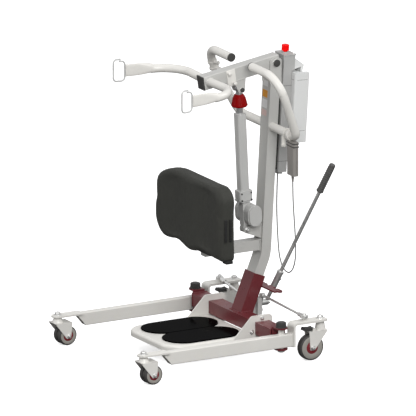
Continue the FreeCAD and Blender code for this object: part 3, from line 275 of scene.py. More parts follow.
def soft_grip():
    """Soft pebbled grip of the spreader lever, lighter where hands rub it."""
    finish = Finish("grip_grey", (0.085, 0.083, 0.08), 0.62)
    finish.mottle(30, 0.15)
    finish.gloss(60, 0.06)
    finish.cells(900, 0.25)
    return finish.wear_and_shade_edges(0.002, (0.16, 0.16, 0.15), 0.5).material


FINISH = {
    "powder_white": painted("powder_white", (0.73, 0.715, 0.675), 0.34),
    "mast_grey": painted("mast_grey", (0.50, 0.497, 0.475), 0.38),
    "light_grey_paint": painted("light_grey_paint", (0.50, 0.495, 0.48), 0.38),
    "burgundy": painted("burgundy", (0.135, 0.020, 0.025), 0.33, (0.24, 0.06, 0.06)),
    "zinc_steel": bare_metal("zinc_steel", (0.80, 0.80, 0.785), 0.46, (1, 1, 0.08)),
    "chrome_rod": bare_metal("chrome_rod", (0.70, 0.70, 0.70), 0.36, (1, 1, 0.1), 0.02),
    "dark_plastic": moulded("dark_plastic", (0.050, 0.049, 0.047), 0.5),
    "pad_black": tread_mat(),
    "knee_vinyl": vinyl(),
    "box_grey": moulded("box_grey", (0.42, 0.42, 0.41), 0.42),
    "battery_white": moulded("battery_white", (0.69, 0.695, 0.685), 0.40),
    "handset_grey": moulded("handset_grey", (0.25, 0.235, 0.22), 0.45),
    "key_grey": rubber("key_grey", (0.09, 0.09, 0.09), 0.6),
    "stop_red": moulded("stop_red", (0.88, 0.002, 0.002), 0.34, depth=0.03, shine=0.12),
    "cup_red": moulded("cup_red", (0.24, 0.0006, 0.001), 0.42, depth=0.08, shine=0.10),
    "ram_grey": painted("ram_grey", (0.50, 0.50, 0.485), 0.36),
    "tyre_grey": rubber("tyre_grey", (0.055, 0.052, 0.05), 0.6),
    "wheel_grey": moulded("wheel_grey", (0.33, 0.315, 0.285), 0.46),
    "hub_burgundy": moulded("hub_burgundy", (0.20, 0.020, 0.027), 0.38),
    "grip_grey": soft_grip(),
    "cable_grey": rubber("cable_grey", (0.20, 0.20, 0.195), 0.5, 2500, 0.1),
    # The white hook wire is coloured grey as painted shade, so the thin wire reads against the white.
    "hook_wire": painted("hook_wire", (0.56, 0.56, 0.55), 0.30),
    "label_amber": moulded("label_amber", (0.62, 0.27, 0.03), 0.4),
    "label_pink": moulded("label_pink", (0.62, 0.47, 0.44), 0.4),
    "strap_black": rubber("strap_black", (0.012, 0.012, 0.012), 0.75, 2200, 0.4),
    "seam_dark": moulded("seam_dark", (0.02, 0.02, 0.02), 0.6),
}


def dress_frame():
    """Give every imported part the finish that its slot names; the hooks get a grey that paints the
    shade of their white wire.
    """
    for part in frame["record"]["subparts"]:
        finish = "hook_wire" if part["node"] == "sling_hooks" else part["material_slot"]
        for slot in NODES[part["node"]].material_slots:
            slot.material = FINISH[finish]


# --------------------------------------------------------------- mesh helpers

def solid(name, mesh, finish, body, sharp=38):
    """A finished bmesh as an object that rides on a body."""
    data = bpy.data.meshes.new(name)
    mesh.to_mesh(data)
    mesh.free()
    data.polygons.foreach_set("use_smooth", [True] * len(data.polygons))
    data.set_sharp_from_angle(angle=math.radians(sharp))
    piece = bpy.data.objects.new(name, data)
    bpy.context.scene.collection.objects.link(piece)
    data.materials.append(FINISH[finish])
    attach(piece, body)
    return piece


def towards(axis):
    """The turn that takes +Z to an axis."""
    return UP.rotation_difference(Vector(axis).normalized()).to_matrix().to_4x4()


def loft(mesh, rings, looped=False):
    """Add walls from ring to ring, and a face over each end unless the rings close a loop."""
    rows = [[mesh.verts.new(place) for place in ring] for ring in rings]
    pairs = list(zip(rows, rows[1:])) + ([(rows[-1], rows[0])] if looped else [])
    for low, high in pairs:
        for n in range(len(low)):
            m = (n + 1) % len(low)
            mesh.faces.new((low[n], low[m], high[m], high[n]))
    if not looped:
        mesh.faces.new(rows[0][::-1])
        mesh.faces.new(rows[-1])


def around(place, radius, count, height=0.0):
    """Evenly spaced points on a circle about a matrix's Z axis."""
    return [place @ Vector((radius * math.cos(2 * math.pi * n / count),
                            radius * math.sin(2 * math.pi * n / count), height))
            for n in range(count)]


def turned(mesh, outline, middle, axis, steps=40):
    """Add a closed turned shape: an outline of (radius, height) about an axis."""
    place = Matrix.Translation(middle) @ towards(axis)
    rings = []
    for radius, height in outline:
        places = around(place, radius, steps if radius else 1, height)
        rings.append([mesh.verts.new(point) for point in places])
    for low, high in zip(rings, rings[1:]):
        for n in range(steps):
            m = (n + 1) % steps
            if len(low) == 1:
                mesh.faces.new((low[0], high[m], high[n]))
            elif len(high) == 1:
                mesh.faces.new((low[n], low[m], high[0]))
            else:
                mesh.faces.new((low[n], low[m], high[m], high[n]))
    if outline[0] != outline[-1]:
        for ring in (rings[0][::-1], rings[-1]):
            if len(ring) > 1:
                mesh.faces.new(ring)


def moved(x, y, z):
    """A move without a turn, as a matrix."""
    return Matrix.Translation((x, y, z))


def block(mesh, size, place, bevel, steps=3):
    """Add a block with rounded edges; place is a matrix for its centre."""
    verts = bmesh.ops.create_cube(mesh, size=1.0)["verts"]
    bmesh.ops.scale(mesh, vec=size, verts=verts)
    edges = list({edge for vert in verts for edge in vert.link_edges})
    rounded = bmesh.ops.bevel(mesh, geom=edges, offset=bevel, segments=steps, profile=0.5,
                              affect="EDGES")
    bmesh.ops.transform(mesh, matrix=place, verts=rounded["verts"])


def hexagon(mesh, across, height, middle, axis):
    """Add a chamfered hexagon nut or bolt head that stands on its middle point."""
    place = Matrix.Translation(middle) @ towards(axis)
    corner = across / math.sqrt(3)
    loft(mesh, [around(place, reach, 6, up) for reach, up in (
        (corner, 0.0), (corner, height * 0.78), (corner * 0.9, height))])


def bolt(mesh, across, middle, axis):
    """Add a washer, a hexagon and the round end of its shank."""
    axis, middle = Vector(axis).normalized(), Vector(middle)
    start = across * 0.12
    tip = start + across * 0.5
    turned(mesh, [(across * 0.78, 0), (across * 0.78, start * 0.7), (across * 0.72, start)],
           middle, axis)
    hexagon(mesh, across, across * 0.5, middle + axis * start, axis)
    turned(mesh, [(across * 0.3, tip - 0.0002), (across * 0.3, tip + across * 0.08),
                  (across * 0.22, tip + across * 0.14)], middle, axis, 24)


def socket_screw(mesh, radius, middle, axis):
    """Add a round socket-head screw with its recess."""
    turned(mesh, [(radius, 0), (radius, radius * 0.8), (radius * 0.85, radius),
                  (radius * 0.5, radius), (radius * 0.42, radius * 0.55),
                  (0, radius * 0.55)], middle, axis, 24)


def strand(name, points, radius):
    """A smooth NURBS curve with a round section."""
    data = bpy.data.curves.new(name, "CURVE")
    data.dimensions = "3D"
    data.bevel_depth = radius
    data.bevel_resolution = 4
    data.resolution_u = 12
    data.use_fill_caps = True
    spline = data.splines.new("NURBS")
    spline.points.add(len(points) - 1)
    for point, place in zip(spline.points, points):
        point.co = (*place, 1.0)
    spline.order_u = 3
    spline.use_endpoint_u = True
    piece = bpy.data.objects.new(name, data)
    bpy.context.scene.collection.objects.link(piece)
    bpy.context.view_layer.update()
    return piece


def weld(mesh, path, radius, closed=False, seed=0.0):
    """Add a rippled weld bead along a path of points."""
    rings = []
    for n, point in enumerate(path):
        before = path[n - 1] if (n or closed) else path[0]
        after = path[(n + 1) % len(path)] if (n < len(path) - 1 or closed) else path[-1]
        swell = radius * (1 + 0.16 * math.sin(n * 2.1 + seed) + 0.12 * noise.noise(point * 300))
        rings.append(around(Matrix.Translation(point) @ towards(after - before), swell, 8))
    loft(mesh, rings, looped=closed)


def run(start, end, pitch=0.0025):
    """Evenly spaced points on a straight run."""
    start, end = Vector(start), Vector(end)
    count = max(2, int((end - start).length / pitch))
    return [start.lerp(end, n / count) for n in range(count + 1)]


def circle(middle, axis, radius):
    """Evenly spaced points on a circle about an axis."""
    return around(Matrix.Translation(middle) @ towards(axis), radius, 48)


# ----------------------------------------------------------------- knee rest

def pad_outline(corners, per_corner=16, per_side=22):
    """The cushion's outline in X and Z: four elliptical corners, each (x, z, x radius, z radius)."""
    arcs = []
    for n, (x, z, across, up) in enumerate(corners):
        middle = Vector((x - math.copysign(across, x), z - math.copysign(up, z)))
        angles = [math.pi / 2 * (n + k / per_corner) for k in range(per_corner + 1)]
        arcs.append([middle + Vector((math.cos(a) * across, math.sin(a) * up)) for a in angles])
    points = []
    for arc, after in zip(arcs, arcs[1:] + arcs[:1]):
        points += arc + [arc[-1].lerp(after[0], k / per_side) for k in range(1, per_side)]
    return points


def shins(x, spread, width):
    """A hump at each shin: 1 at the shin, falling away with the distance across."""
    return sum(math.exp(-((x - side * spread) / width) ** 2) for side, _ in SIDES)


def cushion_outline(half_wide, half_tall):
    """The cushion's outline: a large far upper corner, a notched far side and a wavy foot."""
    far = half_wide + 0.007
    outline = pad_outline(((half_wide, half_tall, 0.062, 0.055), (-far, half_tall, 0.190, 0.088),
                           (-far, -half_tall, 0.082, 0.075), (half_wide, -half_tall, 0.018, 0.018)))
    for point in outline:
        down = max(0.0, -point.y / half_tall)
        tongue = math.exp(-(point.x / 0.045) ** 2)
        point.y += down * (0.009 * shins(point.x, 0.100, 0.042) - 0.011 * tongue)
        if point.x < -half_wide * 0.97:
            point.x += 0.009 * math.exp(-((point.y - 0.035) / 0.045) ** 4)
    return outline


def knee_cushion():
    """Knee cushion with a full side wall, a soft front edge and a hollow for each shin."""
    low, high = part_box("knee_pad")
    middle = (low + high) / 2
    seam = 0.003
    outline = cushion_outline(high.x - middle.x - seam, high.z - middle.z - seam)
    back, front = high.y - 0.001, low.y - 0.007
    reach, flat = 0.190, 0.022
    profile = [(0.045, back), (0.004, back), (0.0, back - 0.004), (0.0, front + 0.030),
               (0.0, front + 0.016), (0.0016, front + 0.009), (0.0055, front + 0.0035),
               (0.012, front + 0.0008)]
    profile += [(flat + (reach - flat) * k / 14, front) for k in range(14)]
    rings = []
    for rim, y in profile:
        on_front = min(1.0, rim / 0.05) if y < front + 0.001 else 0.0
        shrink = 1 - rim / reach
        rings.append([Vector((middle.x + point.x * shrink,
                              y + 0.008 * on_front * shins(point.x * shrink, 0.118, 0.062),
                              middle.z + point.y * shrink)) for point in outline])
    mesh = bmesh.new()
    loft(mesh, rings)
    bmesh.ops.recalc_face_normals(mesh, faces=mesh.faces)
    cushion = solid("knee_cushion", mesh, "knee_vinyl", "knee_rest", 180)
    inflate(cushion, voxel=0.0055, pressure=3.5, cap=0.004)
    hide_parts("knee_pad")


def inflate(piece, voxel, pressure, cap):
    """Remesh a soft form, blow it up as cloth, and keep the result within a cap."""
    bpy.context.view_layer.objects.active = piece
    remesh = piece.modifiers.new("remesh", "REMESH")
    remesh.mode = "VOXEL"
    remesh.voxel_size = voxel
    apply_modifiers(piece)
    start = [vert.co.copy() for vert in piece.data.vertices]
    cloth = piece.modifiers.new("cloth", "CLOTH")
    cloth.settings.use_pressure = True
    cloth.settings.uniform_pressure_force = pressure
    cloth.settings.effector_weights.gravity = 0
    cloth.settings.tension_stiffness = 25
    cloth.settings.compression_stiffness = 25
    cloth.settings.quality = 4
    cloth.point_cache.frame_end = 20
    scene = bpy.context.scene
    for step in range(1, 21):
        scene.frame_set(step)
    apply_modifiers(piece)
    scene.frame_set(1)
    for vert, origin in zip(piece.data.vertices, start):
        shift = vert.co - origin
        if shift.length > cap:
            vert.co = origin + shift.normalized() * cap
    smooth = piece.modifiers.new("smooth", "SMOOTH")
    smooth.iterations = 3
    fine = piece.modifiers.new("fine", "SUBSURF")
    fine.levels = fine.render_levels = 1
    apply_modifiers(piece)
    piece.data.polygons.foreach_set("use_smooth", [True] * len(piece.data.polygons))


def apply_modifiers(piece):
    """Bake a piece's modifiers into its mesh."""
    graph = bpy.context.evaluated_depsgraph_get()
    baked = bpy.data.meshes.new_from_object(piece.evaluated_get(graph))
    old = piece.data
    baked.materials.clear()
    for material in old.materials:
        baked.materials.append(material)
    piece.modifiers.clear()
    piece.data = baked
    bpy.data.meshes.remove(old)


def knee_rest():
    """Cushion, side strap slots, strap end and the carrier's screws."""
    knee_cushion()
    low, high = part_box("knee_pad")

    def slots(mesh):
        for y in (-0.043, -0.023):
            block(mesh, (0.0040, 0.010, 0.086), moved(high.x - 0.0012, y, 0.521), 0.0018, 2)
            for n in range(9):
                block(mesh, (0.0060, 0.0074, 0.0052),
                      moved(high.x - 0.0008, y, 0.483 + n * 0.0095), 0.0012, 2)

    def strap(mesh):
        block(mesh, (0.030, 0.030, 0.012), moved(high.x - 0.020, -0.025, low.z + 0.004), 0.003)

    def screws(mesh):
        for x in (-0.15, -0.05, 0.05, 0.15):
            for z in (0.46, 0.58):
                socket_screw(mesh, 0.006, (x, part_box("knee_plate")[1].y, z), (0, 1, 0))

    fitting("strap_slots", slots, "strap_black", "knee_rest")
    fitting("strap_end", strap, "strap_black", "knee_rest")
    fitting("knee_plate_screws", screws, "zinc_steel", "knee_rest")


# ---------------------------------------------------------------------- cable

def handset_cable():
    """Thin grey lead that hangs in one loop from the control box to the hand control."""
    route = [(0, .3231, .6346), (.002, .3195, .574), (.010, .3135, .515), (.024, .3075, .455),
             (.044, .2995, .397), (.068, .2905, .346), (.098, .2835, .314), (.132, .2795, .297),
             (.166, .2775, .296), (.196, .2775, .318), (.213, .2785, .362), (.213, .279, .420),
             (.205, .2795, .480), (.197, .2795, .540), (.191, .2795, .598), (.190, .2795, .652)]
    lead = strand("handset_lead", route, 0.0025)
    lead.data.materials.append(FINISH["cable_grey"])
    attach(lead, "base")
    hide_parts("handset_cable")


# ------------------------------------------------------------------ hardware

def fitting(name, build, finish, body, sharp=38):
    """One dressed piece whose mesh a function builds."""
    mesh = bmesh.new()
    build(mesh)
    solid(name, mesh, finish, body, sharp)


def button_cap(mesh, radius, height, middle, axis):
    """Add a low round cap with a soft edge."""
    turned(mesh, [(radius, 0), (radius, height * 0.6), (radius * 0.93, height * 0.9),
                  (radius * 0.8, height), (0, height)], middle, axis)


def frame_loop(mesh, low, high, radius, seed=0.0):
    """Add a weld bead round an upright flat rectangle between two corners."""
    foot, top = Vector((high.x, high.y, low.z)), Vector((low.x, low.y, high.z))
    path = []
    for start, end in ((low, foot), (foot, high), (high, top), (top, low)):
        path += run(start, end)[:-1]
    weld(mesh, path, radius, closed=True, seed=seed)


def base_steel(mesh):
    """Bolts of the tray's cheeks, the ram's foot and the lever's pin, screws of the lid and block."""
    cheek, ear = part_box("foot_plate")[1].x, 0.0195
    foot = box_centre("ram_foot_pin")
    for side, _ in SIDES:
        for y, z in ((0.112, 0.094), (0.1565, 0.143), (0.191, 0.094)):
            bolt(mesh, 0.011, (side * cheek, y, z), (side, 0, 0))
        bolt(mesh, 0.013, (side * ear, foot.y, foot.z), (side, 0, 0))
    for x in (-0.029, 0.029):
        socket_screw(mesh, 0.0032, MAST @ Vector((x, 0.072, 0.758)), MAST.to_3x3() @ UP)
    bolt(mesh, 0.016, (0, 0.2165, LEVER_FOOT.z), (0, -1, 0))
    for x in (-0.015, 0.015):
        for z in (0.122, 0.160):
            socket_screw(mesh, 0.0034, (x, 0.2445, z), (0, 1, 0))


def pin_caps(pin, radius):
    """A builder of dark caps over both ends of a pin that runs across."""
    def build(mesh):
        middle, reach = box_centre(pin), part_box(pin)[1].x
        for side, _ in SIDES:
            button_cap(mesh, radius, 0.004, middle + Vector((side * reach, 0, 0)), (side, 0, 0))
    return build


def knob_ribs(mesh):
    """Grip ribs and a raised top on the caps of the leg pivots."""
    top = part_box("pivot_knobs")[1].z
    for _, tag in SIDES:
        knob = Vector((box_centre(f"leg_{tag}").x, box_centre("pivot_knobs").y, top))
        for n in range(16):
            place = Matrix.Translation(knob) @ Matrix.Rotation(math.pi * n / 8, 4, "Z")
            block(mesh, (0.0022, 0.0030, 0.013), place @ moved(0.0178, 0, -0.0075), 0.0007, 2)
        button_cap(mesh, 0.0155, 0.0022, knob, (0, 0, 1))


def beam_welds(mesh):
    """Beads where the beam meets its end brackets and the mast socket."""
    low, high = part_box("cross_beam")
    deck = high.z + 0.0005
    near, far = low.y + 0.016, high.y
    for side, _ in SIDES:
        end, plate, wall = side * 0.2915, side * 0.2975, side * 0.0355
        frame_loop(mesh, Vector((end, low.y, low.z)), Vector((end, high.y, high.z)), 0.0026, side)
        for z in (0.061, 0.136):
            weld(mesh, run((plate, 0.134, z), (plate, 0.179, z)), 0.0022)
        weld(mesh, run((wall, near, deck), (wall, far, deck)), 0.003)
    weld(mesh, run((-0.034, near - 0.003, deck), (0.034, near - 0.003, deck)), 0.003)


def mast_welds(mesh):
    """Beads round the knee sleeve, the yoke plates and the ram's ears."""
    half, sleeve_y, sleeve_z = 0.0205, 0.2365, 0.376
    frame_loop(mesh, Vector((-half, sleeve_y, sleeve_z - half)),
               Vector((half, sleeve_y, sleeve_z + half)), 0.0026)
    for side, _ in SIDES:
        weld(mesh, run((side * 0.030, 0.275, 0.9905), (side * 0.030, 0.321, 0.9905)), 0.0018)
        weld(mesh, run((side * 0.0195, 0.243, 0.412), (side * 0.0195, 0.2455, 0.452)), 0.0022)


def handle_pegs(mesh):
    """Two collars with a strap peg each on the far arm of the push handle."""
    arm = Vector((0, 34.5, -85)).normalized()
    tube, rim, half = 0.0150, 0.0182, 0.004
    for y, z in ((0.194, 1.021), (0.202, 0.996)):
        middle = Vector((-0.262, y, z))
        turned(mesh, [(tube, -half), (rim, -half), (rim + 0.0004, 0), (rim, half),
                      (tube, half), (tube, -half)], middle, arm)
        turned(mesh, [(0.0055, 0), (0.0055, 0.016), (0.0078, 0.018), (0.0078, 0.021),
                      (0.0060, 0.023), (0, 0.023)], middle + Vector((0.016, 0, 0)),
               (1, 0.25, 0), 24)


def labels():
    """Blank stickers on the front of the mast."""
    for name, low, high, finish in (("label_a", 0.635, 0.655, "battery_white"),
                                    ("label_b", 0.592, 0.620, "label_amber"),
                                    ("label_c", 0.552, 0.584, "battery_white"),
                                    ("label_d", 0.522, 0.545, "label_pink")):
        def sticker(mesh):
            place = MAST @ moved(-0.006, -0.0202, (low + high) / 2)
            block(mesh, (0.036, 0.0006, high - low), place, 0.0002, 1)

        fitting(name, sticker, finish, "base")


def box_seams(mesh):
    """Seams of the control box and the battery pack, whose upright edges are round."""
    for z in (0.352, 0.640):
        block(mesh, (0.0728, 0.0364, 0.0012), MAST @ moved(0, 0.048, z), 0.0003, 1)
    for z in (0.470, 0.664):
        for wide, deep in ((0.1243, 0.0440), (0.1060, 0.0623)):
            block(mesh, (wide, deep, 0.0010), MAST @ moved(0, 0.0973, z), 0.0001, 1)


def box_grips(mesh):
    """Ribs on the battery latch and a nut round the cable gland."""
    turned(mesh, [(0.0062, 0), (0.0088, 0), (0.0088, 0.006), (0.0076, 0.0085), (0.0062, 0.0085)],
           MAST @ Vector((0, 0.048, 0.2985)), MAST.to_3x3() @ UP, 6)
    for n in range(5):
        place = MAST @ moved(0, 0.1165 - n * 0.0012, 0.704 - n * 0.006)
        block(mesh, (0.050, 0.0026, 0.0018), place, 0.0006, 2)


def ram_seams(mesh):
    """Seam of the gear housing, its cover screws and those of the motor's end."""
    block(mesh, (0.0464, 0.0544, 0.0011), RAM @ moved(0, 0.001, 0.112), 0.0003, 1)
    for y in (-0.019, 0.021):
        for z in (0.116, 0.142):
            socket_screw(mesh, 0.003, RAM @ Vector((0.023, y, z)), (1, 0, 0))
    for z in (0.038, 0.076):
        socket_screw(mesh, 0.0026, RAM @ Vector((0.0502, 0.018, z)), (1, 0, 0))


def cup_flutes(mesh):
    """Flutes round the release cup, and its lower bead."""
    count = 18
    tip = moved(0.0258, 0, 0) @ Matrix.Rotation(math.radians(-13.6), 4, "Y")
    for n in range(count):
        place = RAM @ moved(0, 0, 0.4955) @ Matrix.Rotation(2 * math.pi * n / count, 4, "Z")
        block(mesh, (0.0022, 0.0034, 0.030), place @ tip, 0.0009, 2)
    turned(mesh, [(0.0286, -0.0018), (0.0306, -0.001), (0.0310, 0.0005), (0.0306, 0.002),
                  (0.0290, 0.003)], RAM @ Vector((0, 0, 0.4785)), RAM.to_3x3() @ UP)


def grip_ribs(mesh):
    """Ribs and end bead of the lever's soft grip."""
    for n in range(12):
        turned(mesh, [(0.0115, -0.0028), (0.0128, -0.0018), (0.0133, 0), (0.0128, 0.0018),
                      (0.0115, 0.0028)], LEVER_TOP - LEVER_AHEAD * (0.018 + n * 0.0085),
               LEVER_AHEAD, 32)
    turned(mesh, [(0.0120, 0.0), (0.0138, 0.002), (0.0138, 0.007), (0.0120, 0.009)],
           LEVER_TOP - LEVER_AHEAD * 0.1225, LEVER_AHEAD, 32)


def lever_steel(mesh):
    """The lever's collar, the sleeve's clamp screw and the nut on the lever's pin."""
    turned(mesh, [(0.0072, 0), (0.0128, 0), (0.0132, 0.004), (0.0120, 0.007), (0.0072, 0.007)],
           LEVER_FOOT + LEVER_AHEAD * 0.130, LEVER_AHEAD, 32)
    bolt(mesh, 0.009, LEVER_FOOT + LEVER_AHEAD * 0.100 + Vector((0, 0.0115, 0)), (0, 1, 0))
    bolt(mesh, 0.015, (0, 0.2786, LEVER_FOOT.z), (0, 1, 0))


def wheel_covers(middles, half, inner, outer):
    """A builder of thin ring covers on both faces of each wheel in a castor."""
    outline = [(inner, 0), (inner, 0.0012), (inner + 0.0012, 0.0017), (outer - 0.002, 0.0017),
               (outer, 0.0004), (outer, 0)]

    def build(mesh):
        for middle in middles:
            for hand in (1, -1):
                face = middle + Vector((hand * (half - 0.0006), 0, 0))
                turned(mesh, outline, face, (hand, 0, 0), 48)
    return build


def axle_nuts(middle, across, reach):
    """A builder of a nut on each end of an axle."""
    def build(mesh):
        for hand in (1, -1):
            bolt(mesh, across, middle + Vector((hand * reach, 0, 0)), (hand, 0, 0))
    return build


def wheel_hardware(tag):
    """Side covers, hub faces and axle nuts of the castors under one leg."""
    front, rear = box_centre(f"front_hubs_{tag}"), box_centre(f"rear_hub_{tag}")
    twins = [front + Vector((offset, 0, 0)) for offset in (-0.0145, 0.0145)]
    front_wheel, rear_wheel = f"front_wheel_{tag}", f"rear_wheel_{tag}"
    fitting(f"front_covers_{tag}", wheel_covers(twins, 0.0098, 0.0203, 0.0325), "wheel_grey",
            front_wheel)
    fitting(f"rear_cover_{tag}", wheel_covers([rear], 0.0145, 0.0243, 0.0440), "wheel_grey",
            rear_wheel)
    fitting(f"front_hub_faces_{tag}", wheel_covers(twins, 0.0094, 0.0085, 0.0200),
            "hub_burgundy", front_wheel)
    fitting(f"rear_hub_face_{tag}", wheel_covers([rear], 0.0141, 0.0105, 0.0240),
            "hub_burgundy", rear_wheel)
    fitting(f"front_nuts_{tag}", axle_nuts(front, 0.011, 0.0305), "zinc_steel",
            f"front_caster_{tag}")
    fitting(f"rear_nuts_{tag}", axle_nuts(rear, 0.012, 0.0205), "zinc_steel",
            f"rear_caster_{tag}")


def leg_hardware(side, tag):
    """Swivel bolts, the tie rod's nut and the weld beads on one leg."""
    x = box_centre(f"leg_{tag}").x

    def steel(mesh):
        for across, at in ((0.019, (x, -0.4315, 0.115)), (0.019, (x, 0.3215, 0.154)),
                           (0.013, (x - side * 0.005, 0.2565, 0.1716))):
            bolt(mesh, across, at, (0, 0, 1))

    def beads(mesh):
        half, deck = 0.0155, 0.1135
        frame_loop(mesh, Vector((x - half, 0.1955, 0.0645)), Vector((x + half, 0.1955, 0.1145)),
                   0.0024)
        for hand in (1, -1):
            edge = x + hand * half
            weld(mesh, run((edge, -0.401, deck), (edge, -0.364, deck)), 0.0020)
        weld(mesh, circle((x, 0.1555, deck + 0.001), UP, 0.0125), 0.0018, closed=True)

    fitting(f"leg_bolts_{tag}", steel, "zinc_steel", f"leg_{tag}")
    fitting(f"leg_welds_{tag}", beads, "powder_white", f"leg_{tag}", sharp=70)


def handset_details():
    """Sleeve on the hanging ring, bands and a parting seam on the shell, arrows on the keys."""
    shell_x, shell_y = 0.190, 0.2795

    def sleeve(mesh):
        turned(mesh, [(0.0196, -0.0096), (0.0206, -0.0096), (0.0212, -0.0085), (0.0212, 0.0085),
                      (0.0206, 0.0096), (0.0196, 0.0096)], (0.169, 0.283, 0.826), (1, 0, 0))

    def bands(mesh):
        for z in (0.790, 0.802):
            block(mesh, (0.0556, 0.0256, 0.0055), moved(shell_x, shell_y, z), 0.0025)
        block(mesh, (0.0546, 0.0012, 0.100), moved(shell_x, shell_y, 0.736), 0.0004, 1)

    def arrows(mesh):
        for node, sign in (("button_up", 1), ("button_down", -1)):
            middle, face = box_centre(node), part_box(node)[1].y
            loft(mesh, [[(middle.x + a, face + lift, middle.z + sign * b)
                         for a, b in ((-0.0055, -0.004), (0.0055, -0.004), (0, 0.0045))]
                        for lift in (-0.0002, 0.0004)])
        bmesh.ops.recalc_face_normals(mesh, faces=mesh.faces)

    fitting("handset_sleeve", sleeve, "powder_white", "base")
    fitting("handset_bands", bands, "dark_plastic", "base")
    fitting("key_arrows", arrows, "battery_white", "base")


def boom_welds(mesh):
    """Beads where the sling arms and the clevis plates join the boom."""
    for side, _ in SIDES:
        weld(mesh, circle((side * 0.0235, 0.0215, 1.0302), (1, 0, 0), 0.0166), 0.0022, closed=True)
        start, end = (BOOM @ Vector((side * 0.0232, y, -0.0245)) for y in (-0.178, -0.131))
        weld(mesh, run(start, end), 0.0018)


# ---------------------------------------------------------------- sling arms

ARM_RADIUS = 0.016
ARM_BEND = 0.115
ARM_TAPER = 0.085
BLADE_LONG = 0.125
BLADE_HALF_THICK = 0.0038
BLADE_HALF_TALL = 0.023


def arm_route(side):
    """Centre line of one sling arm: out from the boom, round a bend, and on to its blade's end."""
    root = Vector((side * 0.023, 0.0215, 1.030))
    elbow = Vector((side * 0.228, 0.0215, 1.036))
    tip = Vector((side * 0.247, -0.1485, 1.037))
    back, ahead = (root - elbow).normalized(), (tip - elbow).normalized()
    turn = math.pi - back.angle(ahead)
    reach = ARM_BEND * math.tan(turn / 2)
    enter, leave = elbow + back * reach, elbow + ahead * reach
    middle = elbow + (back + ahead).normalized() * (ARM_BEND / math.cos(turn / 2))
    start = enter - middle
    bend = [middle + Matrix.Rotation(-side * turn * n / 30, 3, "Z") @ start for n in range(30)]
    return run(root, enter, 0.012)[:-1] + bend + run(leave, tip + ahead * 0.034, 0.003)


def arm_sections(route):
    """Half width, half height and squareness at each point: round tube into flat blade."""
    total = sum((b - a).length for a, b in zip(route, route[1:]))
    gone = 0.0
    for before, point in zip([route[0]] + route[:-1], route):
        gone += (point - before).length
        share = min(1.0, max(0.0, (gone - total + BLADE_LONG) / ARM_TAPER))
        ease = share * share * (3 - 2 * share)
        yield (ARM_RADIUS + (BLADE_HALF_THICK - ARM_RADIUS) * ease,
               ARM_RADIUS + (BLADE_HALF_TALL - ARM_RADIUS) * ease, 2.0 + 3.5 * ease)


def flattened_tube(mesh, route):
    """Add a closed bar along the route with the arm's changing section."""
    steps = 32
    rings = []
    for n, (point, (wide, tall, square)) in enumerate(zip(route, arm_sections(route))):
        ahead = (route[min(n + 1, len(route) - 1)] - route[max(n - 1, 0)]).normalized()
        across = ahead.cross(UP).normalized()
        upward = across.cross(ahead)
        ring = []
        for k in range(steps):
            angle = 2 * math.pi * k / steps
            cos, sin = math.cos(angle), math.sin(angle)
            reach = (abs(cos) ** square + abs(sin) ** square) ** (-1 / square)
            ring.append(point + across * (wide * reach * cos) + upward * (tall * reach * sin))
        rings.append(ring)
    loft(mesh, rings)


def sling_arms():
    """Both bent arms, flattened to blades at the tips, and the peg plate on the boom."""
    mesh = bmesh.new()
    for side, _ in SIDES:
        flattened_tube(mesh, arm_route(side))
    block(mesh, (0.003, 0.036, 0.062), BOOM @ moved(0.0245, -0.190, -0.007), 0.0009)
    for y, z in ((-0.200, 0.014), (-0.184, -0.028)):
        turned(mesh, [(0.005, 0), (0.005, 0.013), (0.0072, 0.0145), (0.0072, 0.018),
                      (0.0055, 0.020), (0, 0.020)], BOOM @ Vector((0.023, y, z)), (1, 0, 0), 28)
    bmesh.ops.recalc_face_normals(mesh, faces=mesh.faces)
    arms = solid("sling_arms_drawn", mesh, "powder_white", "boom", 50)
    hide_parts("sling_arms")


def hardware():
    """Everything small that is bolted, welded or moulded on."""
    fitting("base_bolts", base_steel, "zinc_steel", "base")
    fitting("yoke_caps", pin_caps("boom_pin", 0.0140), "dark_plastic", "base")
    fitting("knob_ribs", knob_ribs, "dark_plastic", "base")
    fitting("beam_welds", beam_welds, "burgundy", "base", sharp=70)
    fitting("mast_welds", mast_welds, "mast_grey", "base", sharp=70)
    fitting("handle_pegs", handle_pegs, "powder_white", "base")
    fitting("box_seams", box_seams, "seam_dark", "base")
    fitting("box_grips", box_grips, "box_grey", "base")
    fitting("ram_seams", ram_seams, "seam_dark", "ram")
    fitting("cup_flutes", cup_flutes, "cup_red", "piston")
    fitting("grip_ribs", grip_ribs, "grip_grey", "spreader_lever")
    fitting("lever_steel", lever_steel, "zinc_steel", "spreader_lever")
    fitting("clevis_caps", pin_caps("clevis_pins", 0.0085), "dark_plastic", "boom")
    fitting("boom_welds", boom_welds, "mast_grey", "boom", sharp=70)
    labels()
    handset_details()
    for side, tag in SIDES:
        wheel_hardware(tag)
        leg_hardware(side, tag)


# --------------------------------------------------------------- stage, camera

def stage():
    """Pale floor that glows a little, like a light table."""
    mesh = bmesh.new()
    bmesh.ops.create_grid(mesh, x_segments=2, y_segments=2, size=30)
    data = bpy.data.meshes.new("studio_floor")
    mesh.to_mesh(data)
    mesh.free()
    floor = bpy.data.objects.new("studio_floor", data)
    bpy.context.scene.collection.objects.link(floor)
    finish = Finish("studio_floor", (0.90, 0.90, 0.90), 0.6, specular=0.1)
    finish.mottle(0.6, 0.01)
    finish.shader.inputs["Emission Color"].default_value = (1.0, 1.0, 1.0, 1.0)
    finish.shader.inputs["Emission Strength"].default_value = 0.60
    data.materials.append(finish.material)
    floor.visible_diffuse = False
    floor.visible_glossy = False


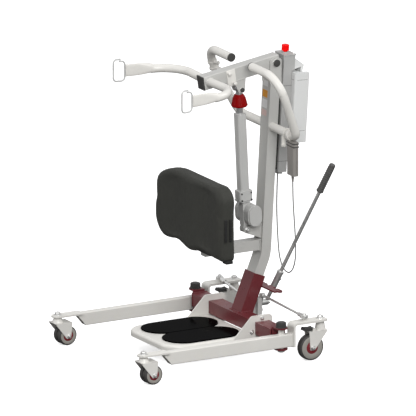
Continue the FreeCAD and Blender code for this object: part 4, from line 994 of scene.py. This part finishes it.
def area_light(name, place, size, power):
    """A soft square lamp that faces the lift's middle."""
    data = bpy.data.lights.new(name, "AREA")
    data.size = size
    data.energy = power
    lamp = bpy.data.objects.new(name, data)
    lamp.location = place
    aim = Vector((0, 0, 0.5)) - Vector(place)
    lamp.rotation_euler = aim.to_track_quat("-Z", "Y").to_euler()
    bpy.context.scene.collection.objects.link(lamp)


def studio():
    """Soft light from above and both sides, in a room that is dark below and pale above."""
    world = bpy.data.worlds.new("studio")
    bpy.context.scene.world = world
    world.use_nodes = True
    background = world.node_tree.nodes["Background"]
    nodes, links = world.node_tree.nodes, world.node_tree.links
    coords = nodes.new("ShaderNodeTexCoord")
    split = nodes.new("ShaderNodeSeparateXYZ")
    ramp = nodes.new("ShaderNodeValToRGB")
    ramp.color_ramp.elements[0].position = 0.35
    ramp.color_ramp.elements[0].color = (0.10, 0.10, 0.10, 1)
    ramp.color_ramp.elements[1].position = 0.85
    ramp.color_ramp.elements[1].color = (0.80, 0.80, 0.81, 1)
    shift = nodes.new("ShaderNodeMapRange")
    shift.inputs["From Min"].default_value = -1.0
    links.new(coords.outputs["Generated"], split.inputs["Vector"])
    links.new(split.outputs["Z"], shift.inputs["Value"])
    links.new(shift.outputs["Result"], ramp.inputs["Fac"])
    links.new(ramp.outputs["Color"], background.inputs["Color"])
    area_light("key", (3.6, -1.0, 2.6), 2.0, 112)
    area_light("fill", (-1.4, -3.6, 2.0), 2.6, 34)
    area_light("rim", (0.8, 3.0, 2.4), 2.0, 30)
    bpy.context.scene.view_settings.view_transform = "Standard"


def camera():
    """Long-lens view from the patient's front left, slightly above."""
    azimuth, elevation = math.radians(60.3), math.radians(15.2)
    away = Vector((math.sin(azimuth) * math.cos(elevation), -math.cos(azimuth) * math.cos(elevation),
                   math.sin(elevation)))
    target = Vector((-0.2202, 0.1521, 0.4717))
    data = bpy.data.cameras.new("camera")
    data.type = "ORTHO"
    data.ortho_scale = 1.5407
    view = bpy.data.objects.new("camera", data)
    view.location = target + away * 6
    view.rotation_euler = (-away).to_track_quat("-Z", "Y").to_euler()
    bpy.context.scene.collection.objects.link(view)
    bpy.context.scene.camera = view


dress_frame()
knee_rest()
handset_cable()
sling_arms()
hardware()
stage()
studio()
camera()
